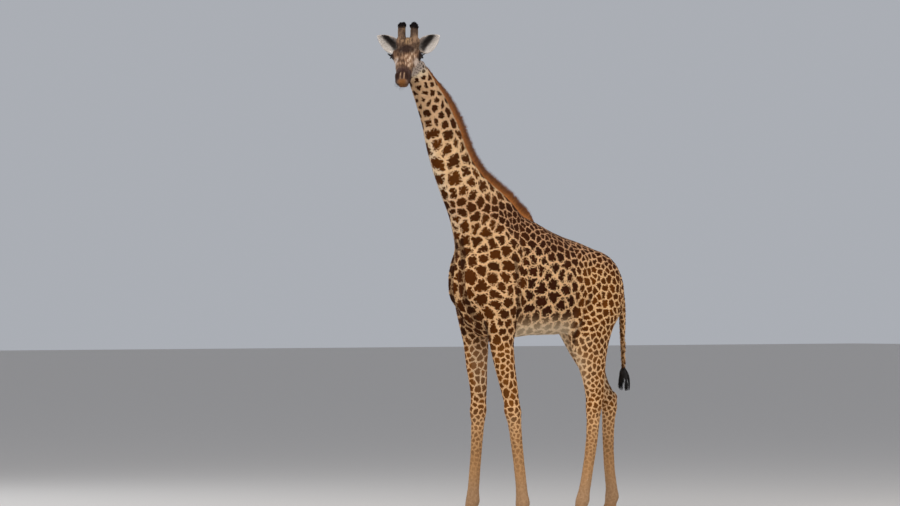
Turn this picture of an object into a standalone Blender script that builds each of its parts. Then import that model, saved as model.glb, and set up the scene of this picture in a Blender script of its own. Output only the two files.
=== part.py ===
"""A Masai giraffe, life size, standing still with its head turned to its left.

The animal faces -Y, its left side is +X and it stands on z = 0. Its flesh is modelled whole: slices
through the trunk, neck, legs and head are lofted, muscles are added as ellipsoids, everything is
fused by a voxel remesh, smoothed and reduced, and then parted by thin plane cuts into named nodes.
Ears, ossicones, eyes, mane, tail and hooves are solids of their own that meet the flesh with the
same thin gap. All sizes are in metres.
"""

import math

import bmesh
import bpy
import numpy as np
from mathutils import Matrix, Vector

# ---------------------------------------------------------------------------------- driving sizes
GAP = 0.0004  # clearance between neighbouring solids
BODY_VOXEL = 0.012
HEAD_VOXEL = 0.0055
BODY_TRIANGLES = 4640  # before parting, the head included
HEAD_TRIANGLES = 1900  # before parting, some neck included
SMOOTHING = 100  # passes, each weaker where the animal is slim
SLIM_SMOOTHING = 0.03  # share of a pass on the legs and upper neck
TRUNK_SMOOTHING = 0.45  # share added on the trunk
HEAD_SMOOTHING = 0.06

EYE_MIDPOINT = Vector((0.105, -1.595, 4.067))  # the point midway between the eyes
HEAD_YAW = math.radians(45)  # how far the head is turned to the animal's left
HEAD_PITCH = math.radians(26.5)  # how far the nose points below level
EYE_RADIUS = 0.028
EYE_SPREAD = 0.106  # from the middle of the head to an eye's centre
EYE_RISE = 0.036  # an eye's centre above the head's own axis
HEAD_WIDEST = 0.52  # the share of a slice's height at which the head is widest

KNEE_HEIGHT = 1.00
HOCK_HEIGHT = 1.07
CORONET_HEIGHT = 0.100  # where hair ends and hoof begins
CORONET_SLOPE = 0.28  # the hoof is taller in front
HOOF_LENGTH = 0.190
HOOF_HALF_WIDTH = 0.072
HOOF_CLEFT = 0.007
TOE_SHARE = 0.66  # of the hoof's length lies ahead of the leg's middle
HEEL_SHARE = 0.38
# Rings of a claw, floor to coronet: share of its height, reach of toe, of heel, and its width.
CLAW_RINGS = [
    (0.00, 0.96, 0.97, 0.96),
    (0.07, 1.00, 1.00, 1.00),
    (0.60, 0.80, 0.90, 0.96),
    (1.00, 0.64, 0.82, 0.89),
]

# Bones behind the joints: rise above the joint, share of the leg's depth, and radii.
KNEE_BONE = (0.010, 0.55, (0.030, 0.040, 0.055))
HEEL_BONE = (0.055, 0.80, (0.030, 0.042, 0.060))
FETLOCK_HEIGHT = 0.235
SPUR_DROP, SPUR_BACK, SPUR_RADII = 0.020, 0.030, (0.040, 0.042, 0.034)

# Slices across the trunk, front to back: y, lowest z, highest z, half width.
TRUNK = [
    (-0.958, 2.12, 2.28, 0.045),
    (-0.932, 2.00, 2.40, 0.110),
    (-0.870, 1.86, 2.50, 0.165),
    (-0.750, 1.73, 2.58, 0.215),
    (-0.600, 1.655, 2.67, 0.250),
    (-0.400, 1.655, 2.725, 0.270),
    (-0.200, 1.678, 2.735, 0.290),
    (0.000, 1.685, 2.645, 0.312),
    (0.200, 1.694, 2.572, 0.320),
    (0.400, 1.755, 2.520, 0.302),
    (0.580, 1.850, 2.450, 0.270),
    (0.735, 1.950, 2.355, 0.210),
    (0.850, 2.020, 2.235, 0.120),
    (0.892, 2.080, 2.170, 0.045),
]
TRUNK_WIDEST = 0.46  # the share of a slice's height at which it is widest

# Slices across the neck, bottom to top: z, x, front y, back y, half width.
NECK = [
    (2.20, 0.000, -0.915, -0.200, 0.165),
    (2.45, 0.000, -0.948, -0.165, 0.190),
    (2.695, 0.000, -1.015, -0.215, 0.182),
    (2.896, 0.000, -1.118, -0.395, 0.146),
    (3.096, 0.002, -1.208, -0.690, 0.121),
    (3.316, 0.004, -1.287, -0.862, 0.104),
    (3.520, 0.008, -1.342, -0.960, 0.094),
    (3.740, 0.014, -1.425, -1.098, 0.086),
    (3.900, 0.026, -1.500, -1.240, 0.081),
    (3.990, 0.042, -1.550, -1.330, 0.077),
    (4.060, 0.058, -1.560, -1.390, 0.066),
]

# Slices across a leg, top to bottom: z, x to the outside, middle y, half depth, half width.
FORE_LEG_LEFT = [
    (2.30, 0.165, -0.430, 0.150, 0.080),
    (2.05, 0.190, -0.560, 0.215, 0.100),
    (1.82, 0.200, -0.628, 0.178, 0.098),
    (1.64, 0.203, -0.622, 0.132, 0.084),
    (1.45, 0.212, -0.596, 0.110, 0.073),
    (1.25, 0.225, -0.558, 0.093, 0.064),
    (1.11, 0.236, -0.533, 0.080, 0.059),
    (1.02, 0.242, -0.524, 0.083, 0.066),
    (0.90, 0.249, -0.508, 0.067, 0.055),
    (0.70, 0.262, -0.490, 0.058, 0.048),
    (0.45, 0.277, -0.466, 0.055, 0.045),
    (0.32, 0.285, -0.458, 0.058, 0.048),
    (0.235, 0.290, -0.452, 0.066, 0.057),
    (0.165, 0.293, -0.466, 0.060, 0.055),
    (0.110, 0.295, -0.484, 0.068, 0.064),
    (0.060, 0.296, -0.494, 0.070, 0.066),
]
FORE_LEG_RIGHT = [
    (2.30, 0.165, -0.430, 0.150, 0.080),
    (2.05, 0.190, -0.560, 0.215, 0.100),
    (1.82, 0.190, -0.605, 0.180, 0.096),
    (1.64, 0.190, -0.588, 0.138, 0.084),
    (1.45, 0.197, -0.572, 0.112, 0.073),
    (1.25, 0.207, -0.548, 0.092, 0.064),
    (1.11, 0.216, -0.538, 0.080, 0.059),
    (1.02, 0.221, -0.537, 0.083, 0.066),
    (0.90, 0.228, -0.538, 0.067, 0.055),
    (0.70, 0.240, -0.541, 0.058, 0.048),
    (0.45, 0.256, -0.552, 0.055, 0.045),
    (0.32, 0.265, -0.558, 0.058, 0.048),
    (0.235, 0.270, -0.561, 0.066, 0.057),
    (0.165, 0.274, -0.575, 0.060, 0.055),
    (0.110, 0.277, -0.591, 0.068, 0.064),
    (0.060, 0.278, -0.601, 0.070, 0.066),
]
HIND_LEG_LEFT = [
    (2.28, 0.130, 0.600, 0.200, 0.105),
    (2.02, 0.168, 0.520, 0.300, 0.130),
    (1.86, 0.186, 0.450, 0.305, 0.130),
    (1.74, 0.192, 0.410, 0.258, 0.120),
    (1.56, 0.193, 0.400, 0.198, 0.101),
    (1.40, 0.190, 0.430, 0.146, 0.080),
    (1.27, 0.186, 0.455, 0.118, 0.067),
    (1.15, 0.182, 0.468, 0.098, 0.061),
    (1.05, 0.181, 0.460, 0.086, 0.061),
    (0.93, 0.181, 0.452, 0.070, 0.053),
    (0.75, 0.183, 0.434, 0.062, 0.048),
    (0.50, 0.186, 0.386, 0.056, 0.044),
    (0.33, 0.189, 0.346, 0.058, 0.047),
    (0.235, 0.191, 0.318, 0.066, 0.056),
    (0.165, 0.193, 0.302, 0.060, 0.053),
    (0.110, 0.195, 0.286, 0.067, 0.062),
    (0.060, 0.196, 0.278, 0.069, 0.064),
]
HIND_LEG_RIGHT = [
    (2.28, 0.130, 0.620, 0.200, 0.105),
    (2.02, 0.165, 0.575, 0.285, 0.130),
    (1.86, 0.178, 0.570, 0.280, 0.128),
    (1.74, 0.182, 0.600, 0.245, 0.118),
    (1.56, 0.180, 0.665, 0.198, 0.100),
    (1.40, 0.176, 0.735, 0.146, 0.080),
    (1.27, 0.173, 0.810, 0.116, 0.067),
    (1.15, 0.171, 0.905, 0.098, 0.061),
    (1.05, 0.171, 0.945, 0.086, 0.061),
    (0.93, 0.172, 0.938, 0.069, 0.053),
    (0.75, 0.174, 0.934, 0.060, 0.048),
    (0.50, 0.178, 0.952, 0.056, 0.044),
    (0.33, 0.181, 0.978, 0.058, 0.047),
    (0.235, 0.183, 0.988, 0.066, 0.056),
    (0.165, 0.185, 0.974, 0.060, 0.053),
    (0.110, 0.187, 0.958, 0.067, 0.062),
    (0.060, 0.188, 0.950, 0.069, 0.064),
]
LEGS = {
    "front_left": (FORE_LEG_LEFT, 1),
    "front_right": (FORE_LEG_RIGHT, -1),
    "hind_left": (HIND_LEG_LEFT, 1),
    "hind_right": (HIND_LEG_RIGHT, -1),
}

# Muscles and bones that show through the body, as ellipsoids on the left side, mirrored on the
# right: x, y, z, radius across, radius along, radius up, lean in degrees about X.
BODY_FORMS = [
    (0.180, -0.430, 2.260, 0.105, 0.170, 0.400, 24),  # shoulder blade
    (0.185, -0.610, 1.980, 0.110, 0.210, 0.250, -20),  # upper arm
    (0.175, 0.500, 2.120, 0.135, 0.300, 0.330, 12),  # haunch
    (0.210, 0.330, 2.370, 0.060, 0.090, 0.080, 0),  # hip bone
    (0.085, -0.890, 2.180, 0.090, 0.090, 0.260, 0),  # breast
    (0.110, 0.800, 2.080, 0.065, 0.085, 0.150, 0),  # seat bone
]

# Slices across the head, back to front, from the eyes: distance, lowest, highest, half width.
HEAD = [
    (-0.235, -0.060, 0.020, 0.030),
    (-0.215, -0.105, 0.075, 0.062),
    (-0.170, -0.150, 0.126, 0.086),
    (-0.110, -0.178, 0.146, 0.100),
    (-0.040, -0.170, 0.128, 0.106),
    (0.040, -0.142, 0.098, 0.096),
    (0.120, -0.112, 0.075, 0.082),
    (0.200, -0.092, 0.057, 0.072),
    (0.275, -0.084, 0.045, 0.067),
    (0.335, -0.086, 0.035, 0.067),
    (0.375, -0.082, 0.019, 0.064),
    (0.404, -0.068, -0.001, 0.050),
    (0.420, -0.046, -0.020, 0.024),
]
# Forms of the head, left side, mirrored: forward, across, up, and the three radii.
HEAD_FORMS = [
    (-0.004, 0.088, 0.046, 0.050, 0.034, 0.038),  # brow and socket
    (-0.030, 0.060, -0.085, 0.110, 0.044, 0.080),  # cheek muscle
    (0.085, 0.056, -0.010, 0.100, 0.032, 0.040),  # cheekbone
    (0.345, 0.043, 0.002, 0.040, 0.026, 0.028),  # nostril wing
    (0.364, 0.026, -0.046, 0.040, 0.032, 0.030),  # upper lip
    (0.325, 0.018, -0.083, 0.054, 0.030, 0.020),  # lower lip and chin
    (0.010, 0.000, 0.084, 0.090, 0.050, 0.040),  # knob of the forehead
    (-0.122, 0.048, 0.100, 0.058, 0.050, 0.060),  # root of the ossicone
]

OSSICONE_ROOT = Vector((-0.120, 0.044, 0.080))  # forward, across, up
OSSICONE_TIP = Vector((-0.222, 0.054, 0.248))
OSSICONE_RADII = [0.046, 0.038, 0.029, 0.029, 0.035, 0.037, 0.033, 0.016]

# The plane between head and neck, in the head's own axes: a point, and the way to the head.
HEAD_CUT = Vector((-0.150, 0, -0.190))
HEAD_CUT_ACROSS = Vector((0.35, 0, 0.94))
HEAD_CUT_LOWEST = 3.3
# Cuts through the body: a point, the way across, the lowest z, and the y between which they reach.
BODY_CUTS = [
    ((0, -0.55, 2.600), (0, -0.46, 0.89), 2.2, -2.0, 0.2),  # neck and trunk
    ((0, -0.60, 1.625), (0, 0, 1), 0.0, -2.0, -0.2),  # elbows
    ((0, 0.10, 1.630), (0, -0.30, 0.95), 0.0, -0.1, 2.0),  # thighs
    ((0, 0, KNEE_HEIGHT), (0, 0, 1), 0.0, -2.0, 0.0),
    ((0, 0, HOCK_HEIGHT), (0, 0, 1), 0.0, 0.0, 2.0),
]
FOOT_TOP, FOOT_REACH = 0.3, 0.2  # a coronet cut stays below this height and this near its leg

EAR_ROOT = Vector((-0.160, 0.078, 0.018))
EAR_DIRECTION = Vector((-0.18, 0.82, 0.52)).normalized()
EAR_OPENING = Vector((1, 0.25, 0.05))  # the way the cup looks
EAR_ROWS, EAR_COLUMNS = 9, 7
EAR_LENGTH = 0.235
EAR_HALF_WIDTH = 0.068
EAR_THICKNESS = 0.007

MANE_HALF_THICKNESS = 0.020
# The mane along the skin of the neck's back, withers to poll: y, z, height above the skin.
MANE = [(-0.085, 2.690, 0.004), (-0.120, 2.712, 0.030), (-0.200, 2.757, 0.070), (-0.300, 2.822, 0.090),
        (-0.395, 2.896, 0.098), (-0.690, 3.096, 0.092), (-0.862, 3.316, 0.100), (-0.960, 3.520, 0.100),
        (-1.098, 3.740, 0.080), (-1.240, 3.900, 0.046), (-1.330, 3.990, 0.030), (-1.400, 4.065, 0.008)]
MANE_ROOT_DEPTH = 0.030  # how far it starts below the skin
# Across the mane, root to crest: share of the half thickness, share of the height.
MANE_PROFILE = [(-1, 0), (1, 0), (0.85, 0.6), (0, 1), (-0.85, 0.6)]

# The tail's line, root to tip: y, z, radius.
TAIL = [(0.780, 2.205, 0.040), (0.868, 2.155, 0.042), (0.927, 2.060, 0.038), (0.952, 1.930, 0.032),
        (0.958, 1.750, 0.027), (0.960, 1.560, 0.022), (0.962, 1.345, 0.018)]
TASSEL_TOP = 1.3446
# Locks of the tassel: sideways and backward reach of the tip, height of the tip, radius.
TASSEL_LOCKS = [(0.044, 0.036, 1.185, 0.034), (-0.050, -0.028, 1.215, 0.036),
                (0.012, -0.020, 1.195, 0.032), (0.000, 0.000, 1.235, 0.046)]
TASSEL_NECK, TASSEL_POINT = 0.014, 0.004  # a lock's radius at its root and the least at its tip
TASSEL_RINGS = 9
TASSEL_VOXEL = 0.006
TASSEL_SMOOTHING = 10
TASSEL_TRIANGLES = 300

COLOURS = {
    "coat": ((0.46, 0.25, 0.10), 0.8),
    "mane": ((0.25, 0.10, 0.035), 0.85),
    "black_hair": ((0.012, 0.010, 0.010), 0.7),
    "horn": ((0.10, 0.075, 0.055), 0.5),
    "eye": ((0.010, 0.006, 0.004), 0.08),
}


# ------------------------------------------------------------------------------------- shape tools
def material(slot):
    found = bpy.data.materials.get(slot) or bpy.data.materials.new(slot)
    found.use_nodes = True
    shader = found.node_tree.nodes["Principled BSDF"]
    colour, roughness = COLOURS[slot]
    shader.inputs["Base Color"].default_value = (*colour, 1)
    shader.inputs["Roughness"].default_value = roughness
    return found


def add_object(name, mesh_data, slot="coat"):
    made = bpy.data.objects.new(name, mesh_data)
    bpy.context.scene.collection.objects.link(made)
    mesh_data.materials.clear()
    mesh_data.materials.append(material(slot))
    return made


def remove(*objects):
    for gone in objects:
        bpy.data.objects.remove(gone)


def evaluated_mesh(source):
    """A plain mesh of the object with its modifiers applied."""
    graph = bpy.context.evaluated_depsgraph_get()
    return bpy.data.meshes.new_from_object(source.evaluated_get(graph))


def through(rows, steps=4):
    """Rows on a smooth curve through the given rows, with steps between each two."""
    rows = np.array(rows, float)
    ends = np.vstack([2 * rows[0] - rows[1], rows, 2 * rows[-1] - rows[-2]])
    dense = []
    for i in range(1, len(ends) - 2):
        before, here, there, after = ends[i - 1:i + 3]
        for t in np.arange(steps) / steps:
            bend = 2 * before - 5 * here + 4 * there - after
            twist = 3 * here - before - 3 * there + after
            dense.append(here + 0.5 * t * (there - before + t * (bend + t * twist)))
    dense.append(rows[-1])
    return np.array(dense)


def egg(centre, across, up, half_width, rise, fall, squareness=2.2, sides=28):
    """A closed ring of points, with its own reach above and below its centre."""
    ring = []
    for i in range(sides):
        c, s = math.cos(math.tau * i / sides), math.sin(math.tau * i / sides)
        x = half_width * math.copysign(abs(c) ** (2 / squareness), c)
        z = (rise if s > 0 else fall) * math.copysign(abs(s) ** (2 / squareness), s)
        ring.append(Vector(centre) + Vector(across) * x + Vector(up) * z)
    return ring


def loft(name, rings, slot="coat"):
    """A closed solid through rings of equally many points."""
    shape = bmesh.new()
    rows = [[shape.verts.new(point) for point in ring] for ring in rings]
    sides = len(rows[0])
    for low, high in zip(rows, rows[1:]):
        for i in range(sides):
            j = (i + 1) % sides
            shape.faces.new((low[i], low[j], high[j], high[i]))
    shape.faces.new(reversed(rows[0]))
    shape.faces.new(rows[-1])
    bmesh.ops.recalc_face_normals(shape, faces=shape.faces)
    data = bpy.data.meshes.new(name)
    shape.to_mesh(data)
    shape.free()
    return add_object(name, data, slot)


def ellipsoid(name, matrix, radii, rings=14, slot="coat"):
    shape = bmesh.new()
    bmesh.ops.create_uvsphere(shape, u_segments=2 * rings, v_segments=rings, radius=1)
    bmesh.ops.transform(shape, matrix=matrix @ Matrix.Diagonal((*radii, 1)), verts=shape.verts)
    data = bpy.data.meshes.new(name)
    shape.to_mesh(data)
    shape.free()
    return add_object(name, data, slot)


def relax(data, strengths, passes):
    """Moves each vertex towards the middle of its neighbours, by its own share, again and again."""
    count = len(data.vertices)
    at = np.empty(3 * count)
    data.vertices.foreach_get("co", at)
    at = at.reshape(-1, 3)
    ends = np.empty(2 * len(data.edges), int)
    data.edges.foreach_get("vertices", ends)
    first, second = ends.reshape(-1, 2).T
    degree = np.bincount(ends, minlength=count)
    share = strengths(at)
    for _ in range(passes):
        for axis in range(3):
            values = at[:, axis].copy()
            total = np.bincount(first, values[second], count) + np.bincount(second, values[first], count)
            at[:, axis] = values + share * (total / degree - values)
    data.vertices.foreach_set("co", at.ravel())
    data.update()


def body_strengths(at):
    """Strong smoothing on the trunk, little on the legs, the upper neck and the head."""
    over_legs = np.clip((at[:, 2] - 1.45) / 0.45, 0, 1)
    under_head = np.clip((3.7 - at[:, 2]) / 0.9, 0, 1)
    return SLIM_SMOOTHING + TRUNK_SMOOTHING * over_legs ** 2 * under_head ** 2


def head_strengths(at):
    return np.full(len(at), HEAD_SMOOTHING)


def fused(pieces, voxel, strengths, passes, triangles):
    """One smooth closed mesh out of overlapping solids."""
    shape = bmesh.new()
    for piece in pieces:
        shape.from_mesh(piece.data)
    data = bpy.data.meshes.new("fused")
    shape.to_mesh(data)
    shape.free()
    remove(*pieces)
    whole = add_object("fused", data)
    skin = whole.modifiers.new("skin", "REMESH")
    skin.mode = "VOXEL"
    skin.voxel_size = voxel
    data = evaluated_mesh(whole)
    remove(whole)
    relax(data, strengths, passes)
    whole = add_object("fused", data)
    reduce = whole.modifiers.new("reduce", "DECIMATE")
    reduce.ratio = triangles / (2 * len(data.polygons))
    reduce.use_collapse_triangulate = True
    data = evaluated_mesh(whole)
    remove(whole)
    return data


def subtract(name, solid, cutter, grow, slot):
    """The solid less the cutter grown by a thin gap, as a new object."""
    clearance = cutter.modifiers.new("clearance", "DISPLACE")
    clearance.strength = grow
    clearance.mid_level = 0
    grown = add_object("grown", evaluated_mesh(cutter))
    cutter.modifiers.remove(clearance)
    take = solid.modifiers.new("take", "BOOLEAN")
    take.operation = "DIFFERENCE"
    take.object = grown
    data = evaluated_mesh(solid)
    remove(solid, grown)
    data.name = name
    return add_object(name, largest_island(data), slot)


def islands(shape):
    """The separate surfaces of a bmesh, each as a list of faces."""
    waiting = set(shape.faces)
    found = []
    while waiting:
        edge_of_search = [waiting.pop()]
        island = []
        while edge_of_search:
            face = edge_of_search.pop()
            island.append(face)
            for edge in face.edges:
                for other in edge.link_faces:
                    if other in waiting:
                        waiting.discard(other)
                        edge_of_search.append(other)
        found.append(island)
    return found


def largest_island(data):
    """The mesh with only its largest surface, since a cut may leave crumbs."""
    shape = bmesh.new()
    shape.from_mesh(data)
    found = sorted(islands(shape), key=lambda island: sum(f.calc_area() for f in island))
    crumbs = [face for island in found[:-1] for face in island]
    bmesh.ops.delete(shape, geom=crumbs, context="FACES")
    shape.to_mesh(data)
    shape.free()
    return data


def part_along(shape, point, normal, near):
    """Opens a thin gap along a plane, through the faces that near() accepts."""
    point, normal = Vector(point), Vector(normal).normalized()
    for side in (-0.5, 0.5):
        faces = [f for f in shape.faces if near(f.calc_center_median())]
        around = faces + list({e for f in faces for e in f.edges} | {v for f in faces for v in f.verts})
        bmesh.ops.bisect_plane(shape, geom=around, dist=1e-6, plane_no=normal,
                               plane_co=point + normal * GAP * side)
    slab = []
    for face in shape.faces:
        centre = face.calc_center_median()
        if near(centre) and abs((centre - point).dot(normal)) < 0.49 * GAP:
            slab.append(face)
    bmesh.ops.delete(shape, geom=slab, context="FACES")


def solids_from(shape, name_of, slot="coat"):
    """Closes each surface's holes and makes it an object, named by its middle."""
    made = {}
    for faces in islands(shape):
        own = bmesh.new()
        copies = {}
        for face in faces:
            corners = []
            for vert in face.verts:
                if vert not in copies:
                    copies[vert] = own.verts.new(vert.co)
                corners.append(copies[vert])
            own.faces.new(corners)
        open_edges = [e for e in own.edges if e.is_boundary]
        bmesh.ops.holes_fill(own, edges=open_edges, sides=0)
        bmesh.ops.triangulate(own, faces=[f for f in own.faces if len(f.verts) > 3])
        bmesh.ops.recalc_face_normals(own, faces=own.faces)
        corners = np.array([v.co for v in own.verts])
        name = name_of(Vector((corners.min(0) + corners.max(0)) / 2))
        data = bpy.data.meshes.new(name)
        own.to_mesh(data)
        own.free()
        made[name] = add_object(name, data, slot)
    return made


# ------------------------------------------------------------------------------------ the head frame
def head_matrix():
    """From the head's own axes (forward, to the left, up) to the world."""
    level = Vector((math.sin(HEAD_YAW), -math.cos(HEAD_YAW), 0))
    forward = level * math.cos(HEAD_PITCH) - Vector((0, 0, math.sin(HEAD_PITCH)))
    left = Vector((0, 0, 1)).cross(level)
    up = forward.cross(left)
    turn = Matrix((forward, left, up)).transposed().to_4x4()
    return Matrix.Translation(EYE_MIDPOINT) @ turn


def in_head(forward, across, up):
    return head_matrix() @ Vector((forward, across, up))


# ------------------------------------------------------------------------------------------- flesh
def trunk_solid():
    rings = []
    for y, low, high, half_width in through(TRUNK):
        centre_z = low + TRUNK_WIDEST * (high - low)
        rise, fall = high - centre_z, centre_z - low
        rings.append(egg((0, y, centre_z), (1, 0, 0), (0, 0, 1), half_width, rise, fall))
    return loft("trunk_form", rings)


def neck_solid():
    rings = []
    for z, x, front, back, half_width in through(NECK):
        middle, reach = (front + back) / 2, (back - front) / 2
        rings.append(egg((x, middle, z), (1, 0, 0), (0, 1, 0), half_width, reach, reach))
    return loft("neck_form", rings)


def leg_solid(slices, side):
    rings = []
    for z, out, y, half_depth, half_width in through(slices):
        centre = (side * out, y, z)
        rings.append(egg(centre, (1, 0, 0), (0, 1, 0), half_width, half_depth, half_depth, 2.1, 20))
    return loft("leg_form", rings)


def joint_bumps(slices, side):
    """The knee's pisiform or the hock's heel bone, and the dewlap of the fetlock behind."""
    fore = slices[0][2] < 0
    rows = through(slices, 12)
    rise, reach, radii = KNEE_BONE if fore else HEEL_BONE
    height = rise + (KNEE_HEIGHT if fore else HOCK_HEIGHT)
    at_joint = rows[np.abs(rows[:, 0] - height).argmin()]
    at_fetlock = rows[np.abs(rows[:, 0] - FETLOCK_HEIGHT).argmin()]
    heel = Matrix.Translation((side * at_joint[1], at_joint[2] + reach * at_joint[3], height))
    spur_place = (side * at_fetlock[1], at_fetlock[2] + SPUR_BACK, FETLOCK_HEIGHT - SPUR_DROP)
    spur = Matrix.Translation(spur_place)
    return [ellipsoid("heel", heel, radii), ellipsoid("spur", spur, SPUR_RADII)]


def body_forms():
    forms = []
    for x, y, z, across, along, up, lean in BODY_FORMS:
        for side in (1, -1):
            place = Matrix.Translation((side * x, y, z)) @ Matrix.Rotation(math.radians(lean), 4, "X")
            forms.append(ellipsoid("form", place, (across, along, up)))
    return forms


def head_solids():
    across, up = head_matrix().to_3x3().col[1], head_matrix().to_3x3().col[2]
    rings = []
    for forward, low, high, half_width in through(HEAD):
        centre = low + HEAD_WIDEST * (high - low)
        rise, fall = high - centre, centre - low
        rings.append(egg(in_head(forward, 0, centre), across, up, half_width, rise, fall, 2.3))
    solids = [loft("head_form", rings)]
    for forward, side_step, rise, long, wide, tall in HEAD_FORMS:
        for side in (1, -1) if side_step else (1,):
            place = head_matrix() @ Matrix.Translation((forward, side * side_step, rise))
            solids.append(ellipsoid("form", place, (long, wide, tall)))
    return solids


def flesh_name(middle):
    side = "left" if middle.x > 0 else "right"
    if middle.z > 3.0:
        return "neck"
    if middle.z > 1.9:
        return "trunk"
    end = "front" if middle.y < -0.1 else "hind"
    share = "upper" if middle.z > 1.0 else "lower"
    return f"leg_{end}_{side}_{share}"


def foot_of(leg):
    """Where a leg's coronet is: its middle, and the way up through the hoof."""
    slices, side = LEGS[leg]
    rows = through(slices, 12)
    row = rows[np.abs(rows[:, 0] - CORONET_HEIGHT).argmin()]
    return Vector((side * row[1], row[2], CORONET_HEIGHT))


def head_cut():
    """The plane between head and neck: a point on it and the way towards the head."""
    return in_head(*HEAD_CUT), (in_head(*HEAD_CUT_ACROSS) - EYE_MIDPOINT).normalized()


def make_flesh():
    """Trunk, neck, legs and head, fused and parted."""
    pieces = [trunk_solid(), neck_solid(), *body_forms()]
    for slices, side in LEGS.values():
        pieces += [leg_solid(slices, side), *joint_bumps(slices, side)]
    pieces += head_solids()
    shape = bmesh.new()
    shape.from_mesh(fused(pieces, BODY_VOXEL, body_strengths, SMOOTHING, BODY_TRIANGLES))
    point, towards_head = head_cut()
    part_along(shape, point, towards_head, lambda at: at.z > HEAD_CUT_LOWEST)
    for place, across, lowest, front, back in BODY_CUTS:
        part_along(shape, place, across, lambda at: at.z > lowest and front < at.y < back)
    for leg in LEGS:
        foot = foot_of(leg)
        part_along(shape, foot, (0, CORONET_SLOPE, 1),
                   lambda at: at.z < FOOT_TOP and (at.xy - foot.xy).length < FOOT_REACH)
    replaced = []
    for face in shape.faces:
        at = face.calc_center_median()
        in_head_part = at.z > HEAD_CUT_LOWEST and (at - point).dot(towards_head) > 0
        if in_head_part or (at.z < FOOT_TOP / 2 and is_in_hoof(at)):
            replaced.append(face)
    bmesh.ops.delete(shape, geom=replaced, context="FACES")
    nodes = solids_from(shape, flesh_name)
    shape.free()

    shape = bmesh.new()
    pieces = [neck_solid(), *head_solids()]
    shape.from_mesh(fused(pieces, HEAD_VOXEL, head_strengths, SMOOTHING, HEAD_TRIANGLES))
    part_along(shape, point, towards_head, lambda at: True)
    beyond = [f for f in shape.faces if (f.calc_center_median() - point).dot(towards_head) < 0]
    bmesh.ops.delete(shape, geom=beyond, context="FACES")
    nodes.update(solids_from(shape, lambda middle: "head"))
    shape.free()
    return nodes


def is_in_hoof(at):
    """Whether a point lies below its nearest foot's coronet plane."""
    foot = min((foot_of(leg) for leg in LEGS), key=lambda middle: (middle - at).length)
    return (at - foot).dot(Vector((0, CORONET_SLOPE, 1))) < 0


# ------------------------------------------------------------------------------------- other pieces
def make_hooves():
    """Two claws under each foot, flat below and sloped on top to meet the coronet."""
    for leg in LEGS:
        foot = foot_of(leg)
        for claw, side in (("outer", 1 if foot.x > 0 else -1), ("inner", -1 if foot.x > 0 else 1)):
            rings = []
            for share, toe, heel, width in CLAW_RINGS:
                front = foot.y - toe * TOE_SHARE * HOOF_LENGTH
                back = foot.y + heel * HEEL_SHARE * HOOF_LENGTH
                half = (HOOF_HALF_WIDTH * width - HOOF_CLEFT / 2) / 2
                middle = (foot.x + side * (HOOF_CLEFT / 2 + half), (front + back) / 2, 0)
                reach = (back - front) / 2
                ring = egg(middle, (1, 0, 0), (0, 1, 0), half, reach, reach, 2.6, 12)
                for point in ring:
                    top = CORONET_HEIGHT - GAP - CORONET_SLOPE * (point.y - foot.y)
                    point.z = share * top
                rings.append(ring)
            loft(f"hoof_{leg}_{claw}", rings, "horn")


def make_eyes(head):
    """Each eyeball, and the head with a socket round it."""
    for name, side in (("left", 1), ("right", -1)):
        place = head_matrix() @ Matrix.Translation((0, side * EYE_SPREAD, EYE_RISE))
        socket = ellipsoid("socket", place, (EYE_RADIUS,) * 3, 6)
        head = subtract("head", head, socket, GAP, "coat")
        remove(socket)
        ellipsoid(f"eye_{name}", place, (EYE_RADIUS,) * 3, 6, "eye")
    return head


def make_ossicones(head):
    for name, side in (("left", 1), ("right", -1)):
        flip = Vector((1, side, 1))
        root, tip = in_head(*(OSSICONE_ROOT * flip)), in_head(*(OSSICONE_TIP * flip))
        along = (tip - root).normalized()
        across = along.orthogonal().normalized()
        other = along.cross(across)
        rings = []
        for i, radius in enumerate(OSSICONE_RADII):
            share = i / (len(OSSICONE_RADII) - 1)
            rings.append(egg(root.lerp(tip, share), across, other, radius, radius, radius, 2, 10))
        subtract(f"ossicone_{name}", loft("ossicone_form", rings), head, GAP, "coat")


def ear_point(share, swing):
    """A point of the ear's cupped leaf: share from root to tip, swing from edge to edge."""
    belly = math.sin(math.pi * min(share, 0.999) ** 0.78) ** 0.72
    half_width = EAR_HALF_WIDTH * (belly + 0.22 * (1 - share))
    curl = 1.15 * (1 - share) ** 0.8 + 0.28
    angle = swing * curl
    reach = half_width / max(math.sin(curl), 0.25)
    return Vector((reach * (math.cos(curl) - math.cos(angle)), share * EAR_LENGTH, reach * math.sin(angle)))


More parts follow.
